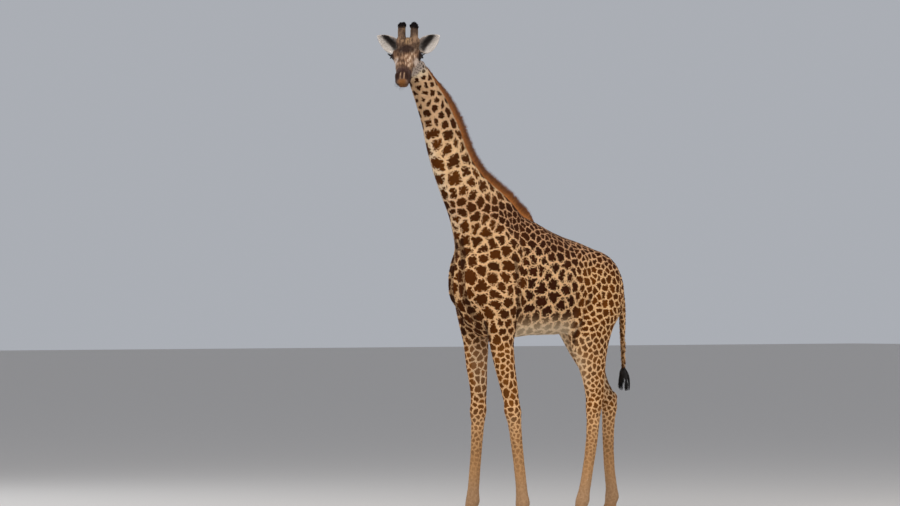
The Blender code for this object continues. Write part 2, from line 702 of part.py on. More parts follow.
def make_ears(head):
    """Cupped leaves behind the ossicones, open to the front."""
    along = EAR_DIRECTION
    opening = (EAR_OPENING - along * EAR_OPENING.dot(along)).normalized()
    upright = opening.cross(along)
    for name, side in (("left", 1), ("right", -1)):
        shape = bmesh.new()
        grid = []
        for i in range(EAR_ROWS):
            row = []
            for j in range(EAR_COLUMNS):
                leaf = ear_point(i / (EAR_ROWS - 1), 2 * j / (EAR_COLUMNS - 1) - 1)
                at = EAR_ROOT + along * leaf.y + opening * leaf.x + upright * leaf.z
                row.append(shape.verts.new(in_head(at.x, side * at.y, at.z)))
            grid.append(row)
        for i in range(EAR_ROWS - 1):
            for j in range(EAR_COLUMNS - 1):
                shape.faces.new((grid[i][j], grid[i + 1][j], grid[i + 1][j + 1], grid[i][j + 1]))
        bmesh.ops.remove_doubles(shape, verts=shape.verts, dist=0.002)
        bmesh.ops.recalc_face_normals(shape, faces=shape.faces)
        data = bpy.data.meshes.new("ear_form")
        shape.to_mesh(data)
        shape.free()
        ear = add_object("ear_form", data)
        thick = ear.modifiers.new("thick", "SOLIDIFY")
        thick.thickness = EAR_THICKNESS
        thick.offset = 0
        whole = add_object("ear_form", evaluated_mesh(ear))
        remove(ear)
        subtract(f"ear_{name}", whole, head, GAP, "coat")


def make_mane(nodes, head):
    """A thin ridge up the back of the neck, from the withers to the poll."""
    rows = through(MANE, 2)
    rings = []
    for i, (y, z, height) in enumerate(rows):
        rise = rows[min(i + 1, len(rows) - 1)] - rows[max(i - 1, 0)]
        outward = Vector((0, rise[1], -rise[0])).normalized()
        x = np.interp(z, [row[0] for row in NECK], [row[1] for row in NECK])
        root = Vector((x, y, z)) - outward * MANE_ROOT_DEPTH
        ring = []
        for across, share in MANE_PROFILE:
            reach = outward * (height + MANE_ROOT_DEPTH) * share
            ring.append(root + reach + Vector((MANE_HALF_THICKNESS * across, 0, 0)))
        rings.append(ring)
    mane = loft("mane_form", rings, "mane")
    for neighbour in (nodes["neck"], nodes["trunk"], head):
        mane = subtract("mane", mane, neighbour, GAP, "mane")


def make_tail(trunk):
    rings = []
    rows = through(TAIL, 3)
    for i, (y, z, radius) in enumerate(rows):
        near = rows[min(i + 1, len(rows) - 1)] - rows[max(i - 1, 0)]
        along = Vector((0, near[0], near[1])).normalized()
        up = along.cross(Vector((1, 0, 0)))
        rings.append(egg((0, y, z), (1, 0, 0), up, radius, radius, radius, 2, 8))
    for point in rings[-1]:
        point.z = TASSEL_TOP + GAP
    subtract("tail", loft("tail_form", rings), trunk, GAP, "coat")


def make_tassel():
    """The black tuft at the tail's end, as a few thick locks grown together."""
    root = Vector((0, TAIL[-1][0], TASSEL_TOP))
    locks = []
    for aside, back, tip_height, radius in TASSEL_LOCKS:
        rings = []
        for share in np.linspace(0, 1, TASSEL_RINGS):
            swell = radius * math.sin(math.pi * (0.12 + 0.86 * share)) ** 0.8
            spread = math.sin(math.pi * 0.5 * share)
            centre = root + Vector((aside * spread, back * spread, (tip_height - root.z) * share))
            width = max(TASSEL_POINT, swell) if share else TASSEL_NECK
            rings.append(egg(centre, (1, 0, 0), (0, 1, 0), width, width, width, 2, 12))
        locks.append(loft("lock", rings))
    shape = bmesh.new()
    shape.from_mesh(fused(locks, TASSEL_VOXEL, head_strengths, TASSEL_SMOOTHING, TASSEL_TRIANGLES))
    for_cut = [*shape.verts, *shape.edges, *shape.faces]
    bmesh.ops.bisect_plane(shape, geom=for_cut, plane_co=(0, 0, TASSEL_TOP - 0.002),
                           plane_no=(0, 0, 1), clear_outer=True)
    for vert in shape.verts:
        if vert.is_boundary:
            vert.co.z = TASSEL_TOP
    solids_from(shape, lambda middle: "tail_tassel", "black_hair")
    shape.free()


def centre_on_origin():
    """Moves the whole animal so that the middle of its footprint is the origin."""
    shown = [o for o in bpy.data.objects if o.type == "MESH"]
    corners = np.array([tuple(v.co) for o in shown for v in o.data.vertices])
    low, high = corners.min(0), corners.max(0)
    shift = Vector((-(low[0] + high[0]) / 2, -(low[1] + high[1]) / 2, -low[2]))
    for piece in shown:
        piece.data.transform(Matrix.Translation(shift))
        piece.data.shade_smooth()
        piece.data.set_sharp_from_angle(angle=math.radians(50))
    print("moved by", tuple(round(v, 4) for v in shift))


def main():
    for old in list(bpy.data.objects):
        bpy.data.objects.remove(old)
    nodes = make_flesh()
    head = make_eyes(nodes["head"])
    make_ossicones(head)
    make_ears(head)
    make_mane(nodes, head)
    make_tail(nodes["trunk"])
    make_tassel()
    make_hooves()
    centre_on_origin()


main()
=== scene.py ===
# %% [markdown]
# # A Masai giraffe, dressed over its solids
#
# The frame is a set of plain solids: head, neck, trunk, legs and so on, each a node of its own. This
# lesson grows one skin over them, paints the net of blotches, lays short hair all over it in tufts,
# and adds what a still model of a giraffe needs to look alive: eyes with lids and lashes, a standing
# mane, tufted ossicones and tail, and worn cloven hooves.

# %% Imports and the frame
import math

import bmesh
import bpy
import numpy as np
from mathutils import Matrix, Vector
from mathutils.bvhtree import BVHTree
from mathutils.kdtree import KDTree


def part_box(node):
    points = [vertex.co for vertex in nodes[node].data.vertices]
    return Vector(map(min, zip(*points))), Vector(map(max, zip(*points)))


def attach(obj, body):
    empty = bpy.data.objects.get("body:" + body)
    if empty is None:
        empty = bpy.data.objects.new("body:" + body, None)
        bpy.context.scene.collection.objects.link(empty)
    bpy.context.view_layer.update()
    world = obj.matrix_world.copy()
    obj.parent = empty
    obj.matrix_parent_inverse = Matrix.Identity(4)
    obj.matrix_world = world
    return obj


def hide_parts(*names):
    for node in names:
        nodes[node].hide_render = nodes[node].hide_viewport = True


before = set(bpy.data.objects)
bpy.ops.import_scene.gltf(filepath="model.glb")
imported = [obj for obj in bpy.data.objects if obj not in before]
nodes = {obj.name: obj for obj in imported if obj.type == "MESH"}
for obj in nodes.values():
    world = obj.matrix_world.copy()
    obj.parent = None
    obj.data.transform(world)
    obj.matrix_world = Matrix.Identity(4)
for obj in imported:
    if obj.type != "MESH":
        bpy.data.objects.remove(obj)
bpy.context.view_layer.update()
chance = np.random.default_rng(7)

# %% [markdown]
# ## Where things are
#
# Every place is worked out from the frame. The head has axes of its own, because it is turned: the
# line through both eyes gives its left, and a named pitch gives how far the nose points down. The
# body is measured from a point under the middle of the trunk.

# %% The head's axes
HEAD_PITCH = math.radians(26.5)  # how far the nose points below level
EYE_RISE = 0.036  # how far the eyes lie above the head's own axis


def middle(node):
    low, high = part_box(node)
    return (low + high) / 2


head_left = (middle("eye_left") - middle("eye_right")).normalized()
level = Vector((head_left.y, -head_left.x, 0))
head_forward = level * math.cos(HEAD_PITCH) - Vector((0, 0, math.sin(HEAD_PITCH)))
head_up = head_forward.cross(head_left)
head_middle = (middle("eye_left") + middle("eye_right")) / 2 - head_up * EYE_RISE
head_axes = np.array([head_forward, head_left, head_up])


def to_head(points):
    """Forward, left and up from the middle of the head."""
    return (np.asarray(points) - np.array(head_middle)) @ head_axes.T


def from_head(forward, left, up):
    return head_middle + head_forward * forward + head_left * left + head_up * up


print("head at", [round(v, 3) for v in head_middle])

# %% The body's axes
TRUNK_MIDDLE_TO_REAR = 0.882
body_middle = np.array([middle("tail").x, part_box("trunk")[1].y - TRUNK_MIDDLE_TO_REAR, 0])


def to_body(points):
    """Left, back and up from the ground under the middle of the trunk."""
    return np.asarray(points) - body_middle


def from_body(x, y, z):
    return Vector(body_middle) + Vector((x, y, z))


print("body at", body_middle.round(3))

# %% [markdown]
# ## The camera
#
# The animal stands well away and is seen through a long lens, from its front left and from about
# the height of its belly. The bottom of the frame cuts across the fetlocks.

# %% Camera
CAMERA_DISTANCE = 40.0
CAMERA_HEIGHT = 2.0
CAMERA_AZIMUTH = math.radians(50)
LENS = 180.8
AIM_ASIDE = math.radians(1.153)
AIM_UP = math.radians(0.596)

away = Vector((math.sin(CAMERA_AZIMUTH), -math.cos(CAMERA_AZIMUTH), 0))
camera_data = bpy.data.cameras.new("camera")
camera_data.lens = LENS
camera_data.clip_end = 500
camera = bpy.data.objects.new("camera", camera_data)
bpy.context.scene.collection.objects.link(camera)
camera.location = from_body(0, 0, 0) + away * CAMERA_DISTANCE + Vector((0, 0, CAMERA_HEIGHT))
aim = Matrix.Rotation(AIM_ASIDE, 3, "Z") @ -away
aim = aim * math.cos(AIM_UP) + Vector((0, 0, math.sin(AIM_UP)))
camera.rotation_euler = aim.to_track_quat("-Z", "Y").to_euler()
bpy.context.scene.camera = camera
print("camera", [round(v, 2) for v in camera.location])

# %% [markdown]
# ## Floor and light
#
# A pale floor and an even, faintly blue sky keep the colours true, as a bright hazy day does. Three
# broad lamps give the body its roundness: a warm key lamp high before its left shoulder, a weaker one
# at its left side, and a cool weak one, the fill, at its right.

# %% Floor
FLOOR_SIZE = 240.0


def plain_material(name, colour, roughness):
    made = bpy.data.materials.new(name)
    made.use_nodes = True
    shader = made.node_tree.nodes["Principled BSDF"]
    shader.inputs["Base Color"].default_value = (*colour, 1)
    shader.inputs["Roughness"].default_value = roughness
    return made


floor_data = bpy.data.meshes.new("floor")
half = FLOOR_SIZE / 2
corners = [(-half, -half, 0), (half, -half, 0), (half, half, 0), (-half, half, 0)]
floor_data.from_pydata(corners, [], [(0, 1, 2, 3)])
floor_data.materials.append(plain_material("pale floor", (0.62, 0.59, 0.56), 0.9))
floor = bpy.data.objects.new("floor", floor_data)
bpy.context.scene.collection.objects.link(floor)
print("floor", FLOOR_SIZE, "m wide")

# %% Light
scene = bpy.context.scene
scene.view_settings.view_transform = "Standard"
world = bpy.data.worlds.new("studio")
scene.world = world
world.use_nodes = True
world.node_tree.nodes["Background"].inputs["Color"].default_value = (0.88, 0.92, 1.0, 1)
world.node_tree.nodes["Background"].inputs["Strength"].default_value = 0.46


def soft_lamp(name, place, size, power, colour):
    data = bpy.data.lights.new(name, "AREA")
    data.energy = power
    data.size = size
    data.color = colour
    lamp = bpy.data.objects.new(name, data)
    scene.collection.objects.link(lamp)
    lamp.location = place
    lamp.rotation_euler = (from_body(0, 0, 2) - lamp.location).to_track_quat("-Z", "Y").to_euler()
    return lamp


soft_lamp("key", from_body(5.5, -9.5, 10.5), 6.0, 1300, (1.0, 0.96, 0.90))
soft_lamp("side", from_body(10.0, 4.0, 6.5), 6.0, 500, (1.0, 0.97, 0.92))
soft_lamp("fill", from_body(-9.0, -4.0, 6.0), 7.0, 330, (0.90, 0.95, 1.0))
print("lamps", len(bpy.data.lights))

# %% [markdown]
# ## One skin over all the flesh
#
# The flesh is parted into nodes by hairline cuts. To lose the cuts, all the solids are joined, grown
# by a fraction of a millimetre so that they overlap, and remeshed as one closed surface. A remesh
# has one cell size, and the head needs finer cells than the trunk, so space is first swollen round
# the head, remeshed, and let back again.

# %% Helpers for meshes as arrays
LEGS = ("front_left", "front_right", "hind_left", "hind_right")
FLESH = ["head", "neck", "trunk", "tail", "ear_left", "ear_right", "ossicone_left", "ossicone_right"]
FLESH += [f"leg_{leg}_{share}" for leg in LEGS for share in ("upper", "lower")]


def add_object(name, data):
    made = bpy.data.objects.new(name, data)
    scene.collection.objects.link(made)
    return made


def values_of(items, field, width=1, kind=float):
    """One field of all the items: a column of values, or rows of the given width."""
    values = np.empty(width * len(items), kind)
    items.foreach_get(field, values)
    return values.reshape(-1, width) if width > 1 else values


def places(data):
    return values_of(data.vertices, "co", 3)


def set_places(data, values):
    data.vertices.foreach_set("co", np.ascontiguousarray(values, np.float32).ravel())
    data.update()


def directions(data):
    """The smooth normal at each vertex."""
    return values_of(data.vertex_normals, "vector", 3, np.float32).astype(float)


def edge_ends(data):
    return values_of(data.edges, "vertices", 2, int).T


def triangle_count(data):
    return sum(len(face.vertices) - 2 for face in data.polygons)


print("flesh nodes:", len(FLESH))


# %% Helpers for search trees, modifiers and shares
def tree_of(*meshes):
    """A search tree over the faces of the meshes, for nearest places and for rays."""
    gathered = bmesh.new()
    for data in meshes:
        gathered.from_mesh(data)
    tree = BVHTree.FromBMesh(gathered)
    gathered.free()
    return tree


def applied(made):
    """A plain mesh of the object with its modifiers applied; the object goes."""
    graph = bpy.context.evaluated_depsgraph_get()
    data = bpy.data.meshes.new_from_object(made.evaluated_get(graph))
    bpy.data.objects.remove(made)
    return data


def smoothstep(values, low, high):
    share = np.clip((np.asarray(values) - low) / (high - low), 0, 1)
    return share * share * (3 - 2 * share)


def blended(values, rows):
    """The values drawn towards the value of each row in turn, by the row's share."""
    for wanted, share in rows:
        values = values + (wanted - values) * share
    return values


print("triangles of the flesh nodes:", sum(triangle_count(nodes[name].data) for name in FLESH))


# %% Stretching space where fine cells are wanted
CELL = 0.0125
FINE_HEAD = 3.1  # times finer than on the trunk
FINE_LEGS = 1.25
HEAD_FINE_ABOVE = 3.80
HEAD_PLAIN_BELOW = 3.45
LEGS_FINE_BELOW = 1.05
LEGS_PLAIN_ABOVE = 1.45
HEAD_AXIS_ABOVE = 2.5  # space swells round an upright line through the head, and below round the body's
heights = np.linspace(-0.5, 5, 5501)
fineness = 1 + (FINE_HEAD - 1) * smoothstep(heights, HEAD_PLAIN_BELOW, HEAD_FINE_ABOVE)
fineness += (FINE_LEGS - 1) * (1 - smoothstep(heights, LEGS_FINE_BELOW, LEGS_PLAIN_ABOVE))
stretched = np.concatenate([[0], np.cumsum((fineness[1:] + fineness[:-1]) / 2 * np.diff(heights))])


def stretch(points, back=False):
    """Points moved apart by the fineness at their height, or let back again."""
    tall = np.interp(points[:, 2], stretched, heights) if back else points[:, 2]
    factor = np.interp(tall, heights, fineness)
    axis = np.where((tall > HEAD_AXIS_ABOVE)[:, None], np.array(head_middle)[:2], body_middle[:2])
    across = points[:, :2] - axis
    across = across / factor[:, None] if back else across * factor[:, None]
    up = tall if back else np.interp(tall, heights, stretched)
    return np.column_stack([axis + across, up])


print("finest cell:", round(CELL / FINE_HEAD, 4), "m, coarsest:", CELL, "m")

# %% The joined and remeshed surface
OVERLAP = 0.0008  # closes the cuts between nodes
gathered = bmesh.new()
for name in FLESH + ["eye_left", "eye_right"]:  # the balls fill their sockets
    gathered.from_mesh(nodes[name].data)
bmesh.ops.remove_doubles(gathered, verts=gathered.verts, dist=0.00005)
skin_data = bpy.data.meshes.new("skin")
gathered.to_mesh(skin_data)
gathered.free()
skin_object = add_object("skin", skin_data)
finer = skin_object.modifiers.new("finer", "SUBSURF")
finer.subdivision_type = "SIMPLE"
finer.levels = finer.render_levels = 2
swelling = skin_object.modifiers.new("swelling", "DISPLACE")
swelling.strength = OVERLAP
swelling.mid_level = 0
skin_data = applied(skin_object)
set_places(skin_data, stretch(places(skin_data)))
skin_object = add_object("skin", skin_data)
cells = skin_object.modifiers.new("cells", "REMESH")
cells.mode = "VOXEL"
cells.voxel_size = CELL
skin_data = applied(skin_object)
set_places(skin_data, stretch(places(skin_data), back=True))
print("skin faces:", len(skin_data.polygons))

# %% [markdown]
# The remeshed surface still shows the flat facets of the solids. Moving each vertex to the middle of
# its neighbours wears them away but shrinks the form too. So the smooth surface is found all at
# once, as the one that lies nearest to the first and bends least. A reach, in cells, says how wide a
# bump has to be to stay. Conjugate gradients find it in a few dozen short steps.


# %% Softening a surface
def summed(steps, ends, size):
    """Each edge's step, added at its first end and taken from its second, a quarter of it."""
    total = np.empty((size, steps.shape[1]))
    for axis in range(steps.shape[1]):
        column = steps[:, axis].copy()
        total[:, axis] = np.bincount(ends[0], column, size) - np.bincount(ends[1], column, size)
    return total / 4


def spread(values, ends, size):
    """How far each vertex lies from its neighbours, summed, a quarter for each."""
    return summed(values[ends[0]] - values[ends[1]], ends, size)


def solve(apply, target, guess, passes):
    """Conjugate gradients on every column at once."""
    answer = guess.copy()
    rest = target - apply(answer)
    step = rest.copy()
    size = (rest * rest).sum(0)
    for _ in range(passes):
        moved = apply(step)
        share = size / (step * moved).sum(0).clip(1e-30)
        answer += share * step
        rest -= share * moved
        fresh = (rest * rest).sum(0)
        step = rest + fresh / size.clip(1e-30) * step
        size = fresh
    return answer


def soften(points, ends, reach, passes=60):
    size = len(points)
    weight = (reach * reach)[:, None]

    def stiffened(values):
        return values + spread(weight * spread(values, ends, size), ends, size)

    return solve(stiffened, points, points, passes)


print("places to smooth:", len(skin_data.vertices))


# %% The worn surface
REACH_TRUNK = 10.0
REACH_LEGS = 4.0
REACH_HEAD = 9.0
REACH_FETLOCK = 9.0
REACH_THIN = 1.2  # on the ears and the tail, which are only a few cells thick
HEAD_FROM, HEAD_WHOLE = 3.6, 3.85  # heights between which neck gives way to head


def near_nodes(points, names, reach):
    """1 at the named nodes, falling to 0 at the reach."""
    tree = tree_of(*[nodes[name].data for name in names])
    far = np.full(len(points), 1.0)
    low = np.min([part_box(name)[0] for name in names], 0) - reach
    high = np.max([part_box(name)[1] for name in names], 0) + reach
    inside = ((points > low) & (points < high)).all(1)
    for index in np.nonzero(inside)[0]:
        hit = tree.find_nearest(Vector(points[index]), reach)
        far[index] = hit[3] / reach if hit[3] is not None else 1.0
    return 1 - smoothstep(far, 0, 1)


def thin_parts(points):
    """How far each place belongs to an ear, and how far to the tail."""
    return near_nodes(points, ["ear_left", "ear_right"], 0.012), near_nodes(points, ["tail"], 0.02)


ends = edge_ends(skin_data)
points = places(skin_data)
ear_share, tail_share = thin_parts(points)
reach = blended(np.full(len(points), REACH_LEGS), [
    (REACH_TRUNK, smoothstep(points[:, 2], 1.2, 2.0)),
    (REACH_FETLOCK, 1 - smoothstep(points[:, 2], 0.28, 0.42)),
    (REACH_HEAD, smoothstep(points[:, 2], HEAD_FROM, HEAD_WHOLE)),
    (REACH_THIN, np.maximum(ear_share, tail_share)),
])
points = soften(points, ends, reach)
set_places(skin_data, points)
print("reach from", reach.min().round(1), "to", reach.max().round(1), "cells")

# %% [markdown]
# An ossicone is not a peg on the skull. The skin flares out round its root, most on the outer side,
# and its inner side is drawn in between root and knob. The tail is full where it leaves the rump and
# thins to a cord above the tassel. These are small changes of width, so the skin is moved along its
# own normals, and only the roots are softened once more.

# %% Ossicone roots and the tail's width
FLARE = 0.016  # how far the ossicones spread at their roots
HOLLOW = 0.006  # how far their inner sides draw in between root and knob
ROOT_REACH = 9.0  # of the softening there, in cells
TAIL_FULLER, FULLEST_AT = 0.004, 1.88
TAIL_THINNER = 0.006
worn_normals = directions(skin_data)
between_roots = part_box("ossicone_left")[0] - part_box("ossicone_right")[0]
to_left = np.array(between_roots.normalized())
flared = np.zeros(len(points))
for name, outer_way in (("ossicone_left", 1.0), ("ossicone_right", -1.0)):
    stem = places(nodes[name].data)
    stem_low = stem[stem[:, 2] < stem[:, 2].min() + 0.05].mean(0)
    stem_high = stem[stem[:, 2] > stem[:, 2].max() - 0.05].mean(0)
    stem_length = np.linalg.norm(stem_high - stem_low)
    stem_along = (stem_high - stem_low) / stem_length
    from_root = points - stem_low
    climb = from_root @ stem_along
    aside = np.linalg.norm(from_root - climb[:, None] * stem_along, axis=1)
    outward = worn_normals @ to_left * outer_way
    flare = FLARE * np.exp(-((climb + 0.025) / 0.065) ** 2 - ((aside - 0.030).clip(0) / 0.028) ** 2)
    flare *= (points[:, 2] > 3.9) * (0.15 + 0.85 * smoothstep(outward, -0.45, 0.35))
    up_stem = climb / stem_length
    inner_side = smoothstep(-outward, 0.0, 0.8) * (aside < 0.05)
    hollow = HOLLOW * np.exp(-((up_stem - 0.50) / 0.38) ** 4) * inner_side
    hollow -= 0.8 * HOLLOW * smoothstep(up_stem, 0.85, 1.02) * inner_side
    points = points + flare[:, None] * worn_normals + hollow[:, None] * to_left * outer_way
    flared = np.maximum(flared, flare / FLARE)
points = soften(points, ends, ROOT_REACH * smoothstep(flared, 0.02, 0.3))
fuller = TAIL_FULLER * np.exp(-((points[:, 2] - FULLEST_AT) / 0.20) ** 2)
thinner = TAIL_THINNER * (1 - smoothstep(points[:, 2], 1.42, 1.75))
points = points + ((fuller - thinner) * tail_share)[:, None] * worn_normals
set_places(skin_data, points)
print("ossicone", stem_length.round(3), "m from root to knob, flared vertices:", int((flared > 0.1).sum()))
print("skin box:", points.min(0).round(3), points.max(0).round(3))

# %% [markdown]
# ## Lids, nostrils and lips
#
# These need finer cells still, so the faces near them are split in two each way. The eyeball sits
# half proud of the skull. The skin round it is raised to a dome a lid's thickness above the ball,
# and inside the slit between the lids it drops behind the ball.

# %% Paths on the head
EYE_CENTRE = np.array([0, 0.106, 0.036])
EYE_RADIUS = 0.028
LID = 0.0026
EYE_OUT = np.array([0.20, 1, 0.04]) / np.linalg.norm([0.20, 1, 0.04])
EYE_FRONT = np.cross(EYE_OUT, [-0.04, 0, 1])
EYE_FRONT = EYE_FRONT / np.linalg.norm(EYE_FRONT)
EYE_TOP = np.cross(EYE_FRONT, EYE_OUT)
SLIT_HALF = 0.0245
UPPER_RISE = 0.0150
LOWER_DROP = 0.0130
NOSTRIL = [(0.330, 0.022, 0.040), (0.356, 0.029, 0.035), (0.380, 0.041, 0.020), (0.389, 0.050, 0.002)]
MOUTH = [(0.424, 0.0, -0.047), (0.419, 0.025, -0.049), (0.402, 0.045, -0.054), (0.372, 0.060, -0.061)]
MOUTH += [(0.33, 0.066, -0.066), (0.28, 0.068, -0.062), (0.22, 0.070, -0.055), (0.185, 0.072, -0.052)]


def one_side(at_head):
    """Head places with the right half folded onto the left."""
    return at_head * np.array([1, 0, 1]) + np.abs(at_head) * np.array([0, 1, 0])


def far_from(where, path, reach=None):
    """How far each place lies from a path of straight steps, and how far along it, from 0 to 1."""
    path = np.asarray(path, float)
    nearest = np.full(len(where), 1e3)
    progress = np.zeros(len(where))
    near = np.ones(len(where), bool)
    if reach is not None:
        near = ((where > path.min(0) - reach) & (where < path.max(0) + reach)).all(1)
    close = where[near]
    best, share_along = np.full(len(close), 1e3), np.zeros(len(close))
    lengths = np.linalg.norm(np.diff(path, axis=0), axis=1)
    passed = np.concatenate([[0], np.cumsum(lengths)])
    for start, end, length, before in zip(path[:-1], path[1:], lengths, passed):
        along = end - start
        share = ((close - start) @ along / max(length ** 2, 1e-12)).clip(0, 1)
        far = np.linalg.norm(close - start - share[:, None] * along, axis=1)
        better = far < best
        best = np.where(better, far, best)
        share_along = np.where(better, (before + share * length) / passed[-1], share_along)
    nearest[near] = best
    progress[near] = share_along
    return nearest, progress


def groove(where, path, width, depth, ends=0.12):
    """A soft channel along a path that runs out at both ends; a negative depth is a ridge."""
    far, along = far_from(where, path, 3 * width)
    run_out = smoothstep(along, -0.001, ends) * (1 - smoothstep(along, 1 - ends, 1.001))
    return -depth * np.exp(-(far / width) ** 2) * run_out


def bulge(where, centre, radii, height):
    return height * np.exp(-(((where - np.array(centre)) / np.array(radii)) ** 2).sum(1))


print("slit of the eye", 2 * SLIT_HALF, "m long")


# %% Finer cells near them
def split_near(data, wanted):
    """Splits each face whose corners are all wanted."""
    mesh = bmesh.new()
    mesh.from_mesh(data)
    mesh.verts.ensure_lookup_table()
    chosen = [edge for edge in mesh.edges if wanted[edge.verts[0].index] and wanted[edge.verts[1].index]]
    bmesh.ops.subdivide_edges(mesh, edges=chosen, cuts=1, use_grid_fill=True)
    many = [face for face in mesh.faces if len(face.verts) > 4]
    bmesh.ops.triangulate(mesh, faces=many)
    mesh.to_mesh(data)
    mesh.free()


folded = one_side(to_head(places(skin_data)))
fine = np.linalg.norm(folded - EYE_CENTRE, axis=1) < 0.040
fine |= far_from(folded, NOSTRIL)[0] < 0.018
fine |= far_from(folded, MOUTH)[0] < 0.010
split_near(skin_data, fine)
folded = one_side(to_head(places(skin_data)))
split_near(skin_data, np.linalg.norm(folded - EYE_CENTRE, axis=1) < 0.030)
print("skin faces:", len(skin_data.polygons), "triangles:", triangle_count(skin_data))

# %% [markdown]
# ## Carving the head
#
# The skull shows through a thin skin, so the head is a landscape of bone and sinew. Each form is a
# gentle swelling or a narrow groove, given where it lies on the head, how wide it is and how high it
# stands or how deep it goes. They are summed, and the skin is moved along its own normals by the sum.

# %% Forms of the head
HEAD_FORMS = [  # a spot, its radii and height; or a path, its width and depth, and its soft ends
    ((0.005, 0.112, 0.082), (0.045, 0.03, 0.018), 0.007),  # brow
    ((-0.05, 0.118, 0.045), (0.03, 0.03, 0.03), 0.004),  # behind the orbit
    ([(0.055, 0.09, 0.03), (0.10, 0.085, 0.012)], 0.014, 0.005),  # tear hollow
    ((-0.06, 0.115, -0.07), (0.065, 0.04, 0.06), 0.006),  # cheek
    ([(0.035, 0.1, -0.03), (0.015, 0.1, -0.09), (-0.01, 0.08, -0.14)], 0.012, 0.004),  # before the cheek
    ([(0.04, 0.1, -0.012), (0.14, 0.086, -0.02), (0.24, 0.07, -0.012)], 0.011, -0.0035),  # cheek bone
    ([(0.10, 0.085, -0.035), (0.20, 0.07, -0.035)], 0.013, 0.003),  # below the cheek bone
    ([(0.14, 0.06, 0.045), (0.30, 0.05, 0.03)], 0.016, 0.003),  # side of the nose
    ([(0.12, 0.05, -0.112), (0.0, 0.085, -0.15)], 0.015, -0.004),  # jaw bone
    ((0.36, 0.052, 0.03), (0.03, 0.014, 0.018), 0.007),  # outer wing of the nostril
    ((0.355, 0.016, 0.042), (0.035, 0.012, 0.014), 0.004),  # inner wing
    (NOSTRIL, 0.0052, 0.014, 0.02),
    ((0.395, 0.03, -0.030), (0.03, 0.028, 0.018), 0.005),  # upper lip
    ((0.34, 0.062, -0.048), (0.05, 0.02, 0.014), 0.004),  # side of the lip
    ([(0.418, 0, 0.0), (0.428, 0, -0.04)], 0.004, 0.003),  # cleft of the lip
    (MOUTH, 0.0045, 0.0075, 0.001),
    ((0.375, 0, -0.088), (0.035, 0.04, 0.02), 0.005),  # chin
    ([(0.175, 0.07, -0.075), (0.19, 0.072, -0.05), (0.185, 0.07, -0.03)], 0.007, 0.003),  # mouth corner
    ([(-0.13, 0.045, 0.12), (-0.16, 0, 0.11)], 0.02, 0.006),  # between the ossicones
    ((-0.115, 0.052, 0.115), (0.04, 0.03, 0.04), 0.004),  # ossicone foot
    ((-0.15, 0.095, 0.02), (0.03, 0.03, 0.03), 0.004),  # ear foot
    ([(-0.08, 0.1, -0.0), (-0.11, 0.1, 0.05), (-0.10, 0.09, 0.09)], 0.014, 0.005),  # before the ear
]
points = places(skin_data)
normals = directions(skin_data)
folded = one_side(to_head(points))
lift = np.zeros(len(points))
for where, *measures in HEAD_FORMS:
    form = bulge if isinstance(where, tuple) else groove
    lift += form(folded, where, *measures)
points = points + lift[:, None] * normals
print("carved by", lift.min().round(4), lift.max().round(4))


# %% Domes and slits of the lids
def slit_edges(along):
    """Upper and lower edge of the slit at places along it, from the front corner to the back."""
    share = np.clip(1 - (along / SLIT_HALF) ** 2, 0, 1)
    return UPPER_RISE * share ** 0.62, -LOWER_DROP * share ** 0.75


def smooth_max(first, second, width):
    gap = np.clip(0.5 + (first - second) / (2 * width), 0, 1)
    return second + (first - second) * gap + width * gap * (1 - gap)


DOME_FOOT = 0.74  # of its radius, where the dome turns into a skirt
SKIRT = 0.019
SOCKET = 0.005  # how far inside the ball the skin lies behind the slit
folded = one_side(to_head(points))
offset = folded - EYE_CENTRE
along, above, out = offset @ EYE_FRONT, offset @ EYE_TOP, offset @ EYE_OUT
ring = np.hypot(along, above)
dome = EYE_RADIUS + LID
foot = DOME_FOOT * dome
foot_rise = math.sqrt(dome ** 2 - foot ** 2)
cap = np.where(ring < foot, np.sqrt((dome ** 2 - ring ** 2).clip(0)),
               foot_rise * np.exp(-(ring - foot).clip(0) / SKIRT))
upper, lower = slit_edges(along)
inside = np.minimum(upper - above, above - lower)
window = 1 - smoothstep(np.abs(along), 0.010, 0.027)
LID_FOLDS = [  # the lid's edge, how far above it, width, height
    (upper, 0.0080, 0.0024, -0.0024),
    (lower, -0.0070, 0.0022, -0.0018),
    (upper, 0.0035, 0.003, 0.0014),
]
fold = sum(height * np.exp(-((above - edge - off) / wide) ** 2) * window
           for edge, off, wide, height in LID_FOLDS)
raised = smooth_max(cap + fold, out, 0.004 + 0.014 * smoothstep(ring, 0.028, 0.05))
behind = np.sqrt(((EYE_RADIUS - SOCKET) ** 2 - ring ** 2).clip(0))
behind = np.minimum(behind, 0.9 * raised)
target = np.where((inside > 0) & (np.abs(along) < SLIT_HALF), behind, raised)
flip = np.sign(to_head(points)[:, 1])[:, None]
outwards = (np.array([[EYE_OUT[0], 0, EYE_OUT[2]]]) + flip * np.array([[0, EYE_OUT[1], 0]])) @ head_axes
beside = np.maximum(smoothstep(out, -0.032, -0.008), (ring < 0.03) & (out > -0.01))
rise = (target - out) * (1 - smoothstep(ring, 0.045, 0.078)) * beside
points = points + rise[:, None] * outwards
set_places(skin_data, points)
print("lids raised by", rise.max().round(4))

# %% [markdown]
# ## Carving the body
#
# The trunk and neck get what lies under a slim giraffe's skin: shoulder blade, ribs, hip, the folds
# of loose skin on the chest and before the thigh. Both sides are alike, so each path is laid on the
# skin of both. The legs stand apart, so each is carved along its own line, measured from its slices.

